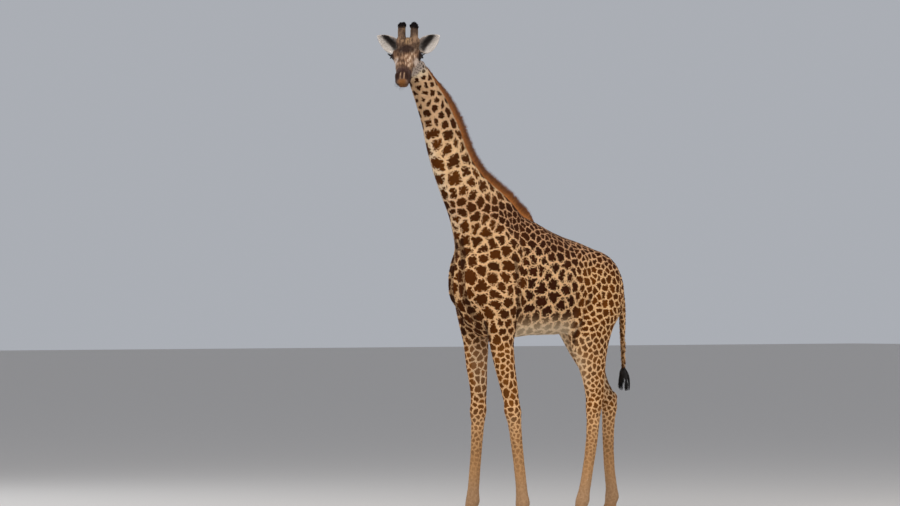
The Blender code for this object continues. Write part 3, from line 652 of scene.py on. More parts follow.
# %% Laying paths on the skin
def laid(tree, path, step=0.02):
    """A path in body places, drawn on the skin in short steps."""
    found = []
    for start, end in zip(path[:-1], path[1:]):
        start, end = np.array(start, float), np.array(end, float)
        count = max(2, int(np.linalg.norm(end - start) / step))
        for share in np.linspace(0, 1, count):
            spot = from_body(*(start + (end - start) * share))
            found.append(np.array(tree.find_nearest(spot)[0]) - body_middle)
    return found


def mirrored(path, side):
    return [(x * side, y, z) for x, y, z in path]


CHEST_FOLDS = [0.035, 0.068, 0.102]  # how far from the middle each one starts
CREASES = [  # path, width, depth: behind the shoulder, close beside it, and before the thigh
    ([(0.33, -0.53, 2.36), (0.35, -0.49, 2.15), (0.35, -0.475, 1.9), (0.3, -0.46, 1.68)], 0.013, 0.016),
    ([(0.35, -0.44, 2.18), (0.35, -0.435, 1.84)], 0.010, 0.007),
    ([(0.24, 0.12, 1.62), (0.30, 0.24, 1.80), (0.34, 0.33, 2.04)], 0.018, 0.016),
]
chest = [([(start, -1.05, 2.50), (start + 0.012, -1.05, 2.2), (start + 0.045, -1.0, 1.92),
           (start + 0.07, -0.85, 1.66)], 0.010, 0.010) for start in CHEST_FOLDS]
skin_tree = tree_of(skin_data)
laid_creases = [(laid(skin_tree, mirrored(path, side)), width, depth)
                for path, width, depth in chest + CREASES for side in (1, -1)]
at_body = to_body(places(skin_data))
fine = np.min([far_from(at_body, path, 0.04)[0] for path, _, _ in laid_creases], axis=0) < 0.035
split_near(skin_data, fine)
print("creases:", len(laid_creases), "faces:", len(skin_data.polygons))

# %% [markdown]
# Each form of the trunk is a path or a spot, laid on the skin of both sides. A positive height
# stands out, as the ridge of the shoulder blade does, and a negative one sinks in.

# %% Forms of the trunk
RIDGES = [  # path, width, height
    ([(0.10, -0.50, 2.70), (0.22, -0.66, 2.40), (0.33, -0.82, 2.08)], 0.035, 0.010),  # shoulder blade
    ([(0.10, -0.74, 2.75), (0.2, -0.88, 2.45), (0.25, -0.99, 2.20)], 0.035, -0.013),  # hollow before it
    ([(0.2, -0.38, 2.62), (0.33, -0.41, 2.32), (0.35, -0.46, 2.05)], 0.035, -0.013),  # hollow behind it
    ([(0, -1.1, 2.35), (0, -1.05, 1.95), (0, -0.80, 1.55)], 0.022, -0.014),  # middle of the chest
    ([(0.25, 0.80, 2.36), (0.33, 0.76, 1.95), (0.30, 0.72, 1.50)], 0.022, -0.013),  # down the thigh
    ([(0.2, 0.60, 2.44), (0.3, 0.50, 2.1), (0.32, 0.45, 1.8)], 0.03, -0.006),  # front of the thigh
    ([(0, 1.05, 2.12), (0, 1.05, 1.60)], 0.022, -0.018),  # between the thighs
    ([(0, -0.5, 1.50), (0, 0.3, 1.50)], 0.022, -0.006),  # middle of the belly
    ([(0, -0.55, 2.90), (0, 0.6, 2.60)], 0.03, 0.005),  # backbone
]
SPOTS = [  # centre, radius, height
    ((0.33, -0.62, 2.02), 0.13, 0.016),  # triceps
    ((0.30, -0.50, 1.73), 0.055, 0.011),  # elbow
    ((0.25, -0.92, 2.03), 0.075, 0.014),  # point of the shoulder
    ((0.30, 0.34, 2.27), 0.095, -0.020),  # hollow of the flank
    ((0.27, 0.50, 2.42), 0.055, 0.017),  # point of the hip
    ((0.13, 0.98, 2.27), 0.05, 0.012),  # seat bone
    ((0.31, 0.30, 1.70), 0.075, 0.013),  # stifle
    ((0.30, 0.62, 1.95), 0.13, 0.010),  # thigh
]
RIBS = 8
for rib in range(RIBS):
    rib_back = -0.33 + 0.078 * rib
    path = [(0.28, rib_back - 0.02, 2.46), (0.36, rib_back + 0.03, 2.12), (0.33, rib_back + 0.09, 1.80)]
    RIDGES.append((path, 0.022, -0.0055))
points = places(skin_data)
normals = directions(skin_data)
at_body = to_body(points)
lift = np.zeros(len(points))
for path, width, depth in laid_creases:
    lift += groove(at_body, path, width, 1.4 * depth, 0.3)
    lift += groove(at_body, path, 2.4 * width, -0.4 * depth, 0.3)
for side in (1, -1):
    for path, width, height in RIDGES:
        if side < 0 and all(place[0] == 0 for place in path):
            continue
        lift += groove(at_body, laid(skin_tree, mirrored(path, side), 0.05), width, -height)
    for centre, radius, height in SPOTS:
        spot = laid(skin_tree, mirrored([centre, centre], side))[0]
        lift += bulge(at_body, spot, (radius, radius, radius), height)
points = points + lift[:, None] * normals
set_places(skin_data, points)
print("trunk carved by", lift.min().round(4), lift.max().round(4))


# %% Forms of the neck
def slices(points, low, high, step, chosen):
    """Middle and half width across and along the body at each height."""
    found = []
    for height in np.arange(low, high, step):
        ring = points[chosen & (np.abs(points[:, 2] - height) < step / 2)]
        if len(ring) < 8:
            continue
        least, most = ring.min(0), ring.max(0)
        middle_now, half_now = (least + most) / 2, (most - least) / 2
        found.append([height, middle_now[0], middle_now[1], half_now[0], half_now[1]])
    return np.array(found)


def within(points, table):
    """Places as shares of the slice they lie in: across, along."""
    tall = points[:, 2]
    middle_x, middle_y, half_x, half_y = (np.interp(tall, table[:, 0], table[:, i]) for i in range(1, 5))
    return (points[:, 0] - middle_x) / half_x, (points[:, 1] - middle_y) / half_y


NECK_FROM, NECK_TO = 2.75, 3.78
normals = directions(skin_data)
at_body = to_body(points)
neck_table = slices(at_body, NECK_FROM, NECK_TO, 0.03, at_body[:, 1] < 0.1)
neck_along = within(at_body, neck_table)[1]
on_neck = smoothstep(at_body[:, 2], 2.35, 2.85) * (1 - smoothstep(at_body[:, 2], 3.66, 3.80))
side_groove = np.exp(-((neck_along + 0.45) / 0.16) ** 2)  # between windpipe and neck bones
crest_groove = np.exp(-((neck_along - 0.42) / 0.15) ** 2)
bone_ridge = np.exp(-((neck_along + 0.02) / 0.20) ** 2)
lift = on_neck * (-0.006 * side_groove - 0.005 * crest_groove + 0.003 * bone_ridge)
bones = 0.5 + 0.5 * np.cos(2 * np.pi * (at_body[:, 2] + 0.25 * neck_along) / 0.25)
lift += on_neck * bone_ridge * 0.003 * bones
points = points + lift[:, None] * normals
print("neck slices", len(neck_table))

# %% [markdown]
# A giraffe's leg is bone and sinew under tight skin. Each form is a spot at some height on the leg and
# some way round it, where 1 is the leg's own edge outwards or backwards, so that the table holds for
# a thick leg and a thin one.

# %% Tables of the leg's forms
FOOT_FORMS = [  # height, tallness, out, back, width, how far it stands out
    (0.225, 0.035, 0, 0.9, 0.6, 0.005),  # pad behind the fetlock
    (0.155, 0.03, 0, 0.9, 0.7, -0.005),  # heel
]
KNEE_FORMS = [  # the same, with heights above the middle of the knee
    (0.03, 0.05, 0, -0.95, 0.7, 0.005),  # front of the knee
    (-0.075, 0.03, 0, -0.9, 0.8, -0.004),
    (0.035, 0.035, 0.1, 0.95, 0.5, 0.007),  # bone behind the knee
]
for out in (-0.9, 0.9):
    KNEE_FORMS += [(0.045, 0.03, out, -0.1, 0.5, 0.004), (-0.03, 0.025, out, -0.1, 0.5, 0.003),
                   (0.005, 0.015, out, -0.1, 0.5, -0.003)]
KNEE_FORMS += [
    (0.22, 0.13, 0.9, 0.35, 0.3, -0.005),  # between the muscles of the forearm
    (0.25, 0.15, 0.6, -0.75, 0.25, -0.004),
    (0.40, 0.14, 0.75, -0.5, 0.6, 0.006),
]
HOCK_FORMS = [(0.055, 0.04, 0, 0.95, 0.5, 0.007)]  # point of the hock
for out in (-0.85, 0.85):
    HOCK_FORMS += [(0.17, 0.09, out, 0.45, 0.35, -0.006),  # before the tendon
                   (-0.01, 0.03, out, -0.2, 0.6, 0.004)]
HOCK_FORMS.append((0.0, 0.03, 0, -0.95, 0.6, -0.004))
print("forms of a foot, a knee and a hock:", len(FOOT_FORMS), len(KNEE_FORMS), len(HOCK_FORMS))


# %% Forms of the legs
def leg_spot(on_leg, height, tallness, out, back, width, stands_out):
    """How far a form lifts each place, given by its height and by where it lies round the leg."""
    tall, across, along = on_leg
    far = ((tall - height) / tallness) ** 2 + ((across - out) / width) ** 2 + ((along - back) / width) ** 2
    return stands_out * np.exp(-far)


HINDMOST_OF_FRONT = 0.1
KNEE, HOCK = 1.0, 1.07  # heights
FRONT_TOP, HIND_TOP = 1.62, 1.36
COAT_END = 0.115  # the height at which the skin meets the hooves
TO_TOE, DOWN_HOOF = 0.016, 0.012  # how far the skin's edge is drawn forward and down over them
tall = at_body[:, 2]
for leg in LEGS:
    front = leg.startswith("front")
    top = FRONT_TOP if front else HIND_TOP
    chosen = (at_body[:, 0] > 0) == leg.endswith("left")
    chosen &= (at_body[:, 1] < HINDMOST_OF_FRONT) == front
    table = slices(at_body, 0.09, top, 0.02, chosen)
    for column in range(1, 5):
        table[:, column] = np.convolve(np.pad(table[:, column], 3, "edge"), np.ones(7) / 7, "valid")
    across, along = within(at_body, table)
    across = across * (1 if leg.endswith("left") else -1)
    on_leg = (tall, across, along)
    share = chosen * (1 - smoothstep(tall, top - 0.12, top))
    cannon = np.exp(-((tall - 0.58) / 0.26) ** 4)
    lift = np.zeros(len(points))
    for out in (-0.95, 0.95):
        lift -= 0.0045 * cannon * np.exp(-((across - out) / 0.45) ** 2 - ((along - 0.28) / 0.22) ** 2)
        lift += leg_spot(on_leg, 0.235, 0.035, out, 0.1, 0.7, 0.0035)  # sides of the fetlock
        lift += leg_spot(on_leg, 0.165, 0.025, out, 0.2, 0.6, -0.0035)  # pastern
    for form in FOOT_FORMS:
        lift += leg_spot(on_leg, *form)
    lift += 0.003 * np.exp(-((tall - 0.118) / 0.012) ** 2)  # coronet
    joint, forms = (KNEE, KNEE_FORMS) if front else (HOCK, HOCK_FORMS)
    for above_joint, *form in forms:
        lift += leg_spot(on_leg, joint + above_joint, *form)
    low_share = share * (1 - smoothstep(tall, COAT_END, COAT_END + 0.055))
    facing_toe = smoothstep(-normals[:, 1], 0.0, 0.8)
    drawn = np.column_stack([0 * tall, TO_TOE * facing_toe, DOWN_HOOF + 0 * tall])
    points = points - low_share[:, None] * drawn + (lift * share)[:, None] * normals
set_places(skin_data, points)
print("legs carved:", ", ".join(LEGS))

# %% [markdown]
# ## Making room for the hair
#
# The solids are measured to the tips of the coat. The skin lies inside them by the depth of the hair,
# which is least on the face and feet. Then the mesh is thinned, less on the head than on the body, and
# least round the eyes, the nostrils, the lips and the creases.

# %% Coat depth
DEPTH_BODY = 0.0045
DEPTH_HEAD = 0.0018
normals = directions(skin_data)
points = places(skin_data)
on_head = smoothstep(points[:, 2], HEAD_FROM, HEAD_WHOLE)
on_feet = 1 - smoothstep(points[:, 2], 0.2, 0.9)
depth = DEPTH_BODY + (DEPTH_HEAD - DEPTH_BODY) * np.maximum(on_head, on_feet)
ear_share, tail_share = thin_parts(points)
depth *= smoothstep(np.linalg.norm(one_side(to_head(points)) - EYE_CENTRE, axis=1), 0.032, 0.046)
points = points - (depth * (1 - np.maximum(ear_share, 0.6 * tail_share)))[:, None] * normals
set_places(skin_data, points)
print("skin drawn in by up to", depth.max().round(4))

# %% Thinning
WANTED_TRIANGLES = 196000
THIN_BODY, THIN_HEAD, THIN_BUSY = 0.8, 0.5, 0.1  # how freely each may be thinned
triangles = triangle_count(skin_data)
skin_object = add_object("skin", skin_data)
freely = skin_object.vertex_groups.new(name="freely")
folded = one_side(to_head(points))
from_eye = np.linalg.norm(folded - EYE_CENTRE, axis=1)
busy = from_eye < 0.055
busy |= far_from(folded, NOSTRIL)[0] < 0.02
busy |= far_from(folded, MOUTH)[0] < 0.012
busy |= np.min([far_from(to_body(points), path, 0.04)[0] for path, _, _ in laid_creases], axis=0) < 0.025
share = np.round(THIN_BODY + (THIN_HEAD - THIN_BODY) * on_head, 1)
share[busy] = THIN_BUSY
share[from_eye < 0.044] = 0
for amount in np.unique(share):
    freely.add([int(i) for i in np.nonzero(share == amount)[0]], float(amount), "REPLACE")
thin = skin_object.modifiers.new("thin", "DECIMATE")
thin.ratio = min(1.0, WANTED_TRIANGLES / triangles)
thin.vertex_group = "freely"
thin.vertex_group_factor = 1.0
thin.use_collapse_triangulate = True
skin_data = applied(skin_object)
print("triangles", triangles, "->", triangle_count(skin_data))

# %% [markdown]
# ## Where each kind of marking lies
#
# A Masai giraffe wears a net of pale lines round ragged brown leaves. The leaves are as wide as a hand
# on the neck and smaller towards the back line, the rump and the knees, and below the knees they
# fade into plain tan. To let the raggedness of their edges change its size with them, each point
# gets coordinates of its own, stretched so that a step of one means one leaf. They are found as the
# coordinates whose steps between neighbours come closest to the real steps times the wanted count of
# leaves to the metre.

# %% Parts of the body that the markings follow
TRUNK_TOP = [(-0.75, 2.95), (-0.45, 2.72), (-0.2, 2.62), (0.2, 2.52), (0.6, 2.45), (0.9, 2.30)]
points = places(skin_data)
normals = directions(skin_data)
size = len(points)
at_body, at_head = to_body(points), to_head(points)
leftward, back, tall = at_body.T
side = np.abs(leftward)
top_line = np.interp(back, *np.transpose(TRUNK_TOP))
front_legs = (back < 0.1) * (1 - smoothstep(tall, 1.50, 1.75))
hind_legs = (back >= 0.1) * (1 - smoothstep(tall, 1.40, 1.75))
on_legs = np.maximum(front_legs, hind_legs)
past_throat = at_head @ np.array([0.35, 0, 0.94]) + 0.155  # how far past the line from nape to throat
on_head = smoothstep(past_throat, -0.020, 0.025) * (points[:, 2] > HEAD_FROM)
towards_head = smoothstep(past_throat, -0.075, 0.035) * (points[:, 2] > HEAD_FROM)
on_neck = smoothstep(tall, 2.45, 2.85) * smoothstep(-back, 0.1, 0.5)
near_top = (1 - smoothstep(top_line - tall, 0.05, 0.34)) * (1 - smoothstep(tall, 2.75, 3.0))
on_rump = smoothstep(back, 0.08, 0.34)
on_tail = (back > 0.925) * (side < 0.06) * (1 - smoothstep(tall, 1.9, 2.05))
print("vertices on the neck and on the rump:", int((on_neck > 0.5).sum()), int((on_rump > 0.5).sum()))

# %% How wide the leaves are
leaf = blended(np.full(size, 0.098), [
    (0.116, smoothstep(back, -0.45, -0.3) * (1 - smoothstep(back, -0.05, 0.15))),  # flank
    (0.120, on_neck),
    (0.074, on_neck * smoothstep(tall, 3.2, 3.75)),
    (0.064, on_rump),
    (0.054, near_top),
    (0.056, (back < 0.1) * (1 - smoothstep(tall, 1.50, 1.95))),
    (0.050, (back >= 0.1) * (1 - smoothstep(tall, 1.45, 1.90))),
    (0.038, 1 - smoothstep(tall, 0.85, 1.20)),
    (0.026, on_head),
    (0.036, on_tail),
])
print("leaves from", leaf.min().round(3), "to", leaf.max().round(3))

# %% Coordinates for the ragged edges
PATTERN_PASSES = 120
ends = edge_ends(skin_data)
first, second = ends
pitch = ((1 / leaf[first] + 1 / leaf[second]) / 2)[:, None]
pull = summed(pitch * (points[first] - points[second]), ends, size)
guess = points / leaf[:, None].mean()
pattern = solve(lambda values: spread(values, ends, size), pull, guess, PATTERN_PASSES)
print("pattern from", pattern.min(0).round(), "to", pattern.max(0).round())

# %% [markdown]
# The middles of the leaves are strewn over the skin, none nearer to another than most of a leaf's
# width at that place. Each face keeps the four middles nearest to it. The shader can then tell at
# every point how much nearer the first is than the second, and that difference is zero along the
# pale lines.

# %% Middles of the leaves
LEAST_SPACING = (0.66, 1.00)  # of a leaf's width


def point_finder(found_places):
    """A search tree over the places."""
    finder = KDTree(len(found_places))
    for index, place in enumerate(found_places):
        finder.insert(place, index)
    finder.balance()
    return finder


whole_skin = point_finder(points)
taken = np.zeros(size, bool)
middles = []
for index in chance.permutation(size):
    if not taken[index]:
        middles.append(points[index])
        clear = chance.uniform(*LEAST_SPACING) * leaf[index]
        for _, other, _ in whole_skin.find_range(points[index], clear):
            taken[other] = True
print("leaves:", len(middles))

# %% The four nearest middles of each face
NEAREST = 4
finder = point_finder(middles)
centres = points[values_of(skin_data.polygons, "vertices", 3, int)].mean(1)
nearest = np.empty((len(centres), NEAREST, 3), np.float32)
for index, centre in enumerate(centres):
    for rank, found in enumerate(finder.find_n(centre, NEAREST)):
        nearest[index, rank] = found[0]
for rank in range(NEAREST):
    layer_now = skin_data.attributes.new(f"middle_{rank}", "FLOAT_VECTOR", "FACE")
    layer_now.data.foreach_set("vector", nearest[:, rank].ravel())
print("faces told:", len(centres))

# %% [markdown]
# ## Colours by region
#
# Colour follows the body: warm tan between the leaves on the flank, cream on the throat and belly,
# grey-white inside the legs, brown leaves that darken up to the back line. They are painted as one
# colour for each vertex, and the shader adds the fine variation. All are given as they look, in
# sRGB, and turned to linear. A table lists the coats of paint in the order they are laid.


# %% Painting tools
def linear(red, green, blue):
    share = np.array([red, green, blue]) / 255
    return np.where(share <= 0.04045, share / 12.92, ((share + 0.055) / 1.055) ** 2.4)


def painted(colours, coats):
    """The colours under one coat of paint after another: its sRGB colour and how far it covers."""
    for colour, amount in coats:
        colours = colours + (linear(*colour) - colours) * np.clip(amount, 0, 1)[:, None]
    return colours


def soft_noise(places_now, scale, seed):
    """Smooth noise between -1 and 1 from a few waves in random directions."""
    wave = np.random.default_rng(seed)
    total = np.zeros(len(places_now))
    for _ in range(7):
        direction = wave.normal(size=3)
        total += np.sin(places_now @ (direction * scale) + wave.uniform(0, 6.28))
    return np.tanh(total / 2.6)


print("tan in linear light:", linear(210, 170, 126).round(3))

# %% Pale and dark places of the body
inner = smoothstep(-np.sign(leftward) * normals[:, 0], 0.25, 0.8) * (1 - smoothstep(side, 0.15, 0.22))
facing_low = smoothstep(-normals[:, 2], 0.05, 0.80)
belly = 0.85 * facing_low * (1 - smoothstep(tall, 1.72, 1.92)) * (1 - smoothstep(np.abs(back), 0.40, 0.65))
flank = smoothstep(back, -0.44, -0.34) * (1 - on_rump)
# Painted shade: ground and leaves are darkened towards the floor of each crease.
CREASE_SHADE = 0.007  # how far from a crease's floor its shade reaches
painted_crease_shade = np.zeros(size)
for path, _, crease_depth in laid_creases:
    off_floor = (far_from(at_body, path, 0.05)[0] - 0.8 * crease_depth).clip(0)
    painted_crease_shade = np.maximum(painted_crease_shade, np.exp(-(off_floor / CREASE_SHADE) ** 2))
print("vertices in creases:", int((painted_crease_shade > 0.5).sum()))

# %% Ground and leaves
ground = painted(np.tile(linear(210, 170, 126), (size, 1)), [
    ((214, 178, 136), on_neck),
    ((222, 198, 166), on_neck * smoothstep(-normals[:, 1], 0.4, 0.95)),  # front of the neck
    ((192, 148, 112), near_top),
    ((196, 160, 124), on_neck * smoothstep(tall, 3.3, 3.6)),
    ((218, 176, 128), on_rump * (1 - near_top)),
    ((214, 170, 124), on_legs * 0.8),
    ((178, 136, 94), 1 - smoothstep(tall, 0.65, 1.05)),
    ((166, 132, 100), 1 - smoothstep(tall, 0.25, 0.55)),
    ((234, 214, 184), belly),
    ((206, 182, 152), 0.7 * on_legs * inner * smoothstep(tall, 1.0, 1.35)),
    ((150, 112, 78), (1 - smoothstep(tall, 0.13, 0.22)) * 0.7),  # coronet
    # painted shade in the creases
    ((66, 42, 26), 0.75 * painted_crease_shade),
])
patch = painted(np.tile(linear(76, 37, 3), (size, 1)), [
    ((56, 22, 1), flank),
    ((84, 44, 8), on_neck),
    ((58, 26, 3), near_top),
    ((60, 28, 4), on_neck * smoothstep(tall, 3.3, 3.6)),
    ((96, 50, 4), on_rump * (1 - near_top)),
    ((112, 66, 22), on_legs),
    ((106, 68, 34), 1 - smoothstep(tall, 0.6, 1.0)),
    ((118, 76, 36), on_tail),
    ((150, 122, 88), belly * 0.75),
    # painted shade in the creases, on the leaves
    ((34, 16, 6), 0.60 * painted_crease_shade),
])
print("ground from", ground.min().round(3), "to", ground.max().round(3))

# %% How strongly the leaves show, and the width of the pale lines
shows = np.ones(size)
shows -= 0.55 * belly
shows -= 0.12 * on_legs * inner * smoothstep(tall, 1.0, 1.4)
shows *= 0.70 + 0.30 * smoothstep(tall, 0.80, 1.10)
shows *= 0.22 + 0.78 * smoothstep(tall, 0.35, 0.85)
gap = blended(np.full(size, 0.0072), [
    (0.0155, on_neck),
    (0.0200, on_neck * smoothstep(tall, 3.2, 3.75)),
    (0.0030, near_top),
    (0.0068, on_rump),
    (0.0074, on_legs),
    (0.0090, 1 - smoothstep(tall, 0.8, 1.15)),
    (0.0200, belly),
    (0.009, on_head),
])
print("pale lines from", gap.min().round(4), "to", gap.max().round(4))

# %% [markdown]
# The face has no net. It is tan between the ossicones, dark and curly on the forehead, mottled below
# the eyes, dark grey-purple round the nostrils, with painted shade darker still in and round them, and
# orange-brown on the lip, with pale cheeks that carry small dark speckles. Ears are grey-white, with
# painted shade as a near-black band across the cup. First each marking is given its place, with its
# edge roughened by noise, and then the paints are laid over one another.

# %% Where the face's markings lie
ahead, left, above = at_head.T
out = np.abs(left)
blur = 0.012 * soft_noise(at_head, 60, 1) + 0.006 * soft_noise(at_head, 150, 2)
streak_places = at_head * np.array([24, 115, 45])
streaks = soft_noise(streak_places, 1.0, 3) * 0.6 + soft_noise(streak_places, 2.3, 4) * 0.5
cheek = smoothstep(-above + blur, 0.0, 0.03) * (1 - smoothstep(ahead, 0.20, 0.28))
cheek *= smoothstep(ahead, -0.22, -0.12)
crown = smoothstep(-ahead + blur, 0.035, 0.075) * smoothstep(above, 0.04, 0.08)
between = crown * np.exp(-((out + blur) / 0.035) ** 2)
nape_patch = smoothstep(-ahead, 0.15, 0.19) * smoothstep(above + 2 * blur, -0.13, -0.03)
over_eyes = points[:, 2] - (middle("eye_left") + middle("eye_right")).z / 2
brow_patch = np.exp(-((over_eyes - 0.066 + blur) / 0.050) ** 4 - ((out + blur) / 0.090) ** 4)
brow_patch *= smoothstep(above, 0.045, 0.075) * (ahead > -0.08)
muzzle = smoothstep(ahead + blur + 0.25 * (-above - 0.02).clip(0, 1), 0.215, 0.285)
# Painted shade round the nostrils, darker than the muzzle.
nostril_shade = np.exp(-((ahead - 0.355) / 0.045) ** 4 - ((out - 0.036) / 0.026) ** 4) * (above > -0.05)
nose_top = np.exp(-((ahead - 0.34) / 0.05) ** 4) * (above > 0.0)
middle_streak = np.exp(-(out / 0.0085) ** 2) * nose_top
pale_streak = np.exp(-((out - 0.0160) / 0.0045) ** 2) * np.exp(-((ahead - 0.37) / 0.035) ** 4)
lip = smoothstep(ahead + blur * 0.4, 0.392, 0.408)
lip = np.maximum(lip, smoothstep(-above + blur * 0.5, 0.052, 0.07) * smoothstep(ahead, 0.27, 0.31))
folded = one_side(at_head)
nostril_far = far_from(folded, NOSTRIL)[0]
mouth_far = far_from(folded, MOUTH)[0]
eye_far = np.linalg.norm(folded - EYE_CENTRE, axis=1)
under_eye = np.exp(-((ahead - 0.075) / 0.050) ** 4 - ((above - 0.005 + blur) / 0.034) ** 4)
throat = smoothstep(-above, 0.10, 0.14) * (1 - smoothstep(ahead, 0.1, 0.2))
print("vertices within a centimetre of the lips:", int((mouth_far < 0.01).sum()))

# %% Painting the face
face = painted(np.tile(linear(130, 100, 78), (size, 1)), [
    ((60, 42, 32), 0.85 * smoothstep(streaks, -0.1, 0.6)),
    ((216, 190, 166), 0.70 * smoothstep(-streaks, 0.2, 0.9)),
    ((178, 164, 154), cheek * 0.9),
    ((130, 104, 84), crown),
    ((160, 130, 96), 0.7 * between),
    ((62, 46, 38), 0.85 * crown * smoothstep(streaks, -0.15, 0.55)),
    ((188, 146, 102), 0.85 * nape_patch),
    ((50, 36, 32), 0.97 * brow_patch),
    ((60, 42, 38), 0.94 * muzzle),
    # painted shade round the nostrils
    ((44, 28, 22), 0.8 * nostril_shade),
    ((178, 144, 116), 0.8 * pale_streak * (above > -0.03)),
    ((46, 28, 24), 0.95 * middle_streak),
    ((108, 88, 76), 0.9 * lip),
    ((118, 76, 38), 0.9 * lip * np.exp(-(out / 0.038) ** 4)),
    # painted shade in the nostrils' slits
    ((34, 24, 24), 1 - smoothstep(nostril_far, 0.004, 0.012)),
    ((70, 46, 36), 0.8 * (1 - smoothstep(mouth_far, 0.003, 0.008))),
    ((210, 192, 180), 0.75 * under_eye * smoothstep(out, 0.045, 0.06)),
    ((84, 62, 50), 0.85 * (1 - smoothstep(eye_far, 0.042, 0.062)) * (above > 0.030)),
    ((36, 26, 24), 1 - smoothstep(eye_far + 0.5 * blur, 0.035, 0.048)),  # round the lids
    ((224, 206, 178), throat),
])
ground = blended(ground, [(face, towards_head[:, None])])
speckled = cheek * smoothstep(0.18 - ahead, 0, 0.06)
shows *= 1 - on_head * (1 - 0.85 * speckled)
patch = painted(patch, [((56, 40, 32), on_head)])
print("face painted on", int((on_head > 0.5).sum()), "vertices")

# %% Painting the ossicones
ossicone_share = np.zeros(size)
stems_only = above > 0.12
for name in ("ossicone_left", "ossicone_right"):
    ossicone_share = np.maximum(ossicone_share, near_nodes(points, [name], 0.014))
    knob_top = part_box(name)[1].z
    knob = smoothstep(points[:, 2] + 0.4 * blur, knob_top - 0.052, knob_top - 0.042)
    ground = painted(ground, [((88, 70, 58), ossicone_share * stems_only * 0.9),
                              ((18, 13, 14), knob * (ossicone_share > 0.3))])
shaft_streaks = 0.6 * ossicone_share * stems_only * smoothstep(streaks, -0.1, 0.5)
ground = painted(ground, [((52, 40, 35), shaft_streaks * (ground[:, 0] > 0.02))])
print("vertices on the ossicones:", int((ossicone_share > 0.5).sum()))

# %% Painting the ears
EAR_FROM, EAR_TO = 0.075, 0.275  # where an ear starts and ends, measured out from the middle
ear_share = near_nodes(points, ["ear_left", "ear_right"], 0.008)
ear_along = (out - EAR_FROM) / (EAR_TO - EAR_FROM)
facing_ahead = smoothstep((normals @ np.array(head_forward)), 0.15, 0.5)
over_band = above - 0.062 - 1.37 * (out - 0.137)  # how far above the dark band's middle
# The near-black band across the cup is painted shade, where the ear's hair shades its hollow.
ear_cup_shade = np.exp(-((ear_along - 0.42) / 0.40) ** 6 - (over_band / 0.056) ** 6)
by_head = facing_ahead * ear_share * (1 - smoothstep(ear_along, 0.20, 0.42))
by_head *= smoothstep(over_band, 0.025, 0.060)
ground = painted(ground, [
    ((208, 203, 200), ear_share),
    ((112, 94, 88), 0.7 * by_head),
    # painted shade across the cup
    ((24, 16, 14), 0.98 * ear_cup_shade * facing_ahead * ear_share),
    ((176, 140, 104), 0.6 * ear_share * (1 - facing_ahead)),  # back of the ear
])
shows *= 1 - np.maximum(ear_share, ossicone_share * stems_only)
print("vertices on the ears:", int((ear_share > 0.5).sum()))

# %% [markdown]
# The shader reads all this from the mesh: each array becomes an attribute of the vertices, a number, a
# vector or a colour by its width.


# %% Keeping them on the mesh
def store(data, **layers):
    """Each array as an attribute of the vertices: one number, three for a vector, four for a colour."""
    for name, values in layers.items():
        kind, field = {1: ("FLOAT", "value"), 3: ("FLOAT_VECTOR", "vector"),
                       4: ("FLOAT_COLOR", "color")}[values.size // len(values)]
        made = data.attributes.new(name, kind, "POINT")
        made.data.foreach_set(field, np.ascontiguousarray(values, np.float32).ravel())


def opaque(colours):
    return np.column_stack([colours, np.ones(len(colours))])


store(skin_data, pattern=pattern, ground=opaque(ground), leaf=opaque(patch), shows=shows.clip(0, 1),
      gap=gap / leaf, width=leaf, place=points)
print("layers:", [made.name for made in skin_data.attributes][-7:])

# %% [markdown]
# ## The coat's material
#
# The shader bends the pattern's coordinates a little, finds how far each of the four middles lies
# and takes the difference of the two shortest. That draws the net. A fine Voronoi pattern cuts
# notches into each leaf from its edge, deeper into wide leaves than into small ones, which gives the
# vine-leaf shape. Every leaf gets a brown of its own. The same material serves skin and hair, because
# both carry the same layers.

# %% Node helpers
def new_material(name):
    made = bpy.data.materials.new(name)
    made.use_nodes = True
    return made, made.node_tree, made.node_tree.nodes["Principled BSDF"]


def node(tree, kind, links=(), **settings):
    """A shader node with its settings, and links given as (socket, value or output)."""
    made = tree.nodes.new(kind)
    for key, value in settings.items():
        setattr(made, key, value)
    for socket, value in links:
        if isinstance(value, bpy.types.NodeSocket):
            tree.links.new(value, made.inputs[socket])
        else:
            made.inputs[socket].default_value = value
    return made


def math_node(tree, operation, first, second=0.0):
    return node(tree, "ShaderNodeMath", [(0, first), (1, second)], operation=operation).outputs[0]


def vector_math(tree, operation, first, second):
    """Two vectors put together, or a vector scaled by a number."""
    socket = "Scale" if operation == "SCALE" else 1
    made = node(tree, "ShaderNodeVectorMath", [(0, first), (socket, second)], operation=operation)
    return made.outputs["Value" if operation == "DISTANCE" else "Vector"]


def ramp(tree, value, low, high):
    """0 at the low value, 1 at the high one, with soft ends."""
    links = [(0, value), (1, low), (2, high)]
    return node(tree, "ShaderNodeMapRange", links, interpolation_type="SMOOTHSTEP").outputs[0]


def spanned(tree, share, low, high):
    """From low to high as the share goes from 0 to 1."""
    return node(tree, "ShaderNodeMapRange", [(0, share), (3, low), (4, high)]).outputs[0]


def noise(tree, vector, scale, detail=2.0, output="Fac"):
    links = [("Vector", vector), ("Scale", scale), ("Detail", detail)]
    return node(tree, "ShaderNodeTexNoise", links).outputs[output]


def blend_colours(tree, amount, first, second, kind="MIX"):
    links = [(0, amount), (6, first), (7, second)]
    return node(tree, "ShaderNodeMix", links, data_type="RGBA", blend_type=kind).outputs[2]


print("node helpers ready in Blender", bpy.app.version_string)


# %% Helpers for layers, for bending and for the finished shader
def layer(tree, name, output="Vector"):
    return node(tree, "ShaderNodeAttribute", (), attribute_name=name).outputs[output]


def object_place(tree):
    return node(tree, "ShaderNodeTexCoord").outputs["Object"]


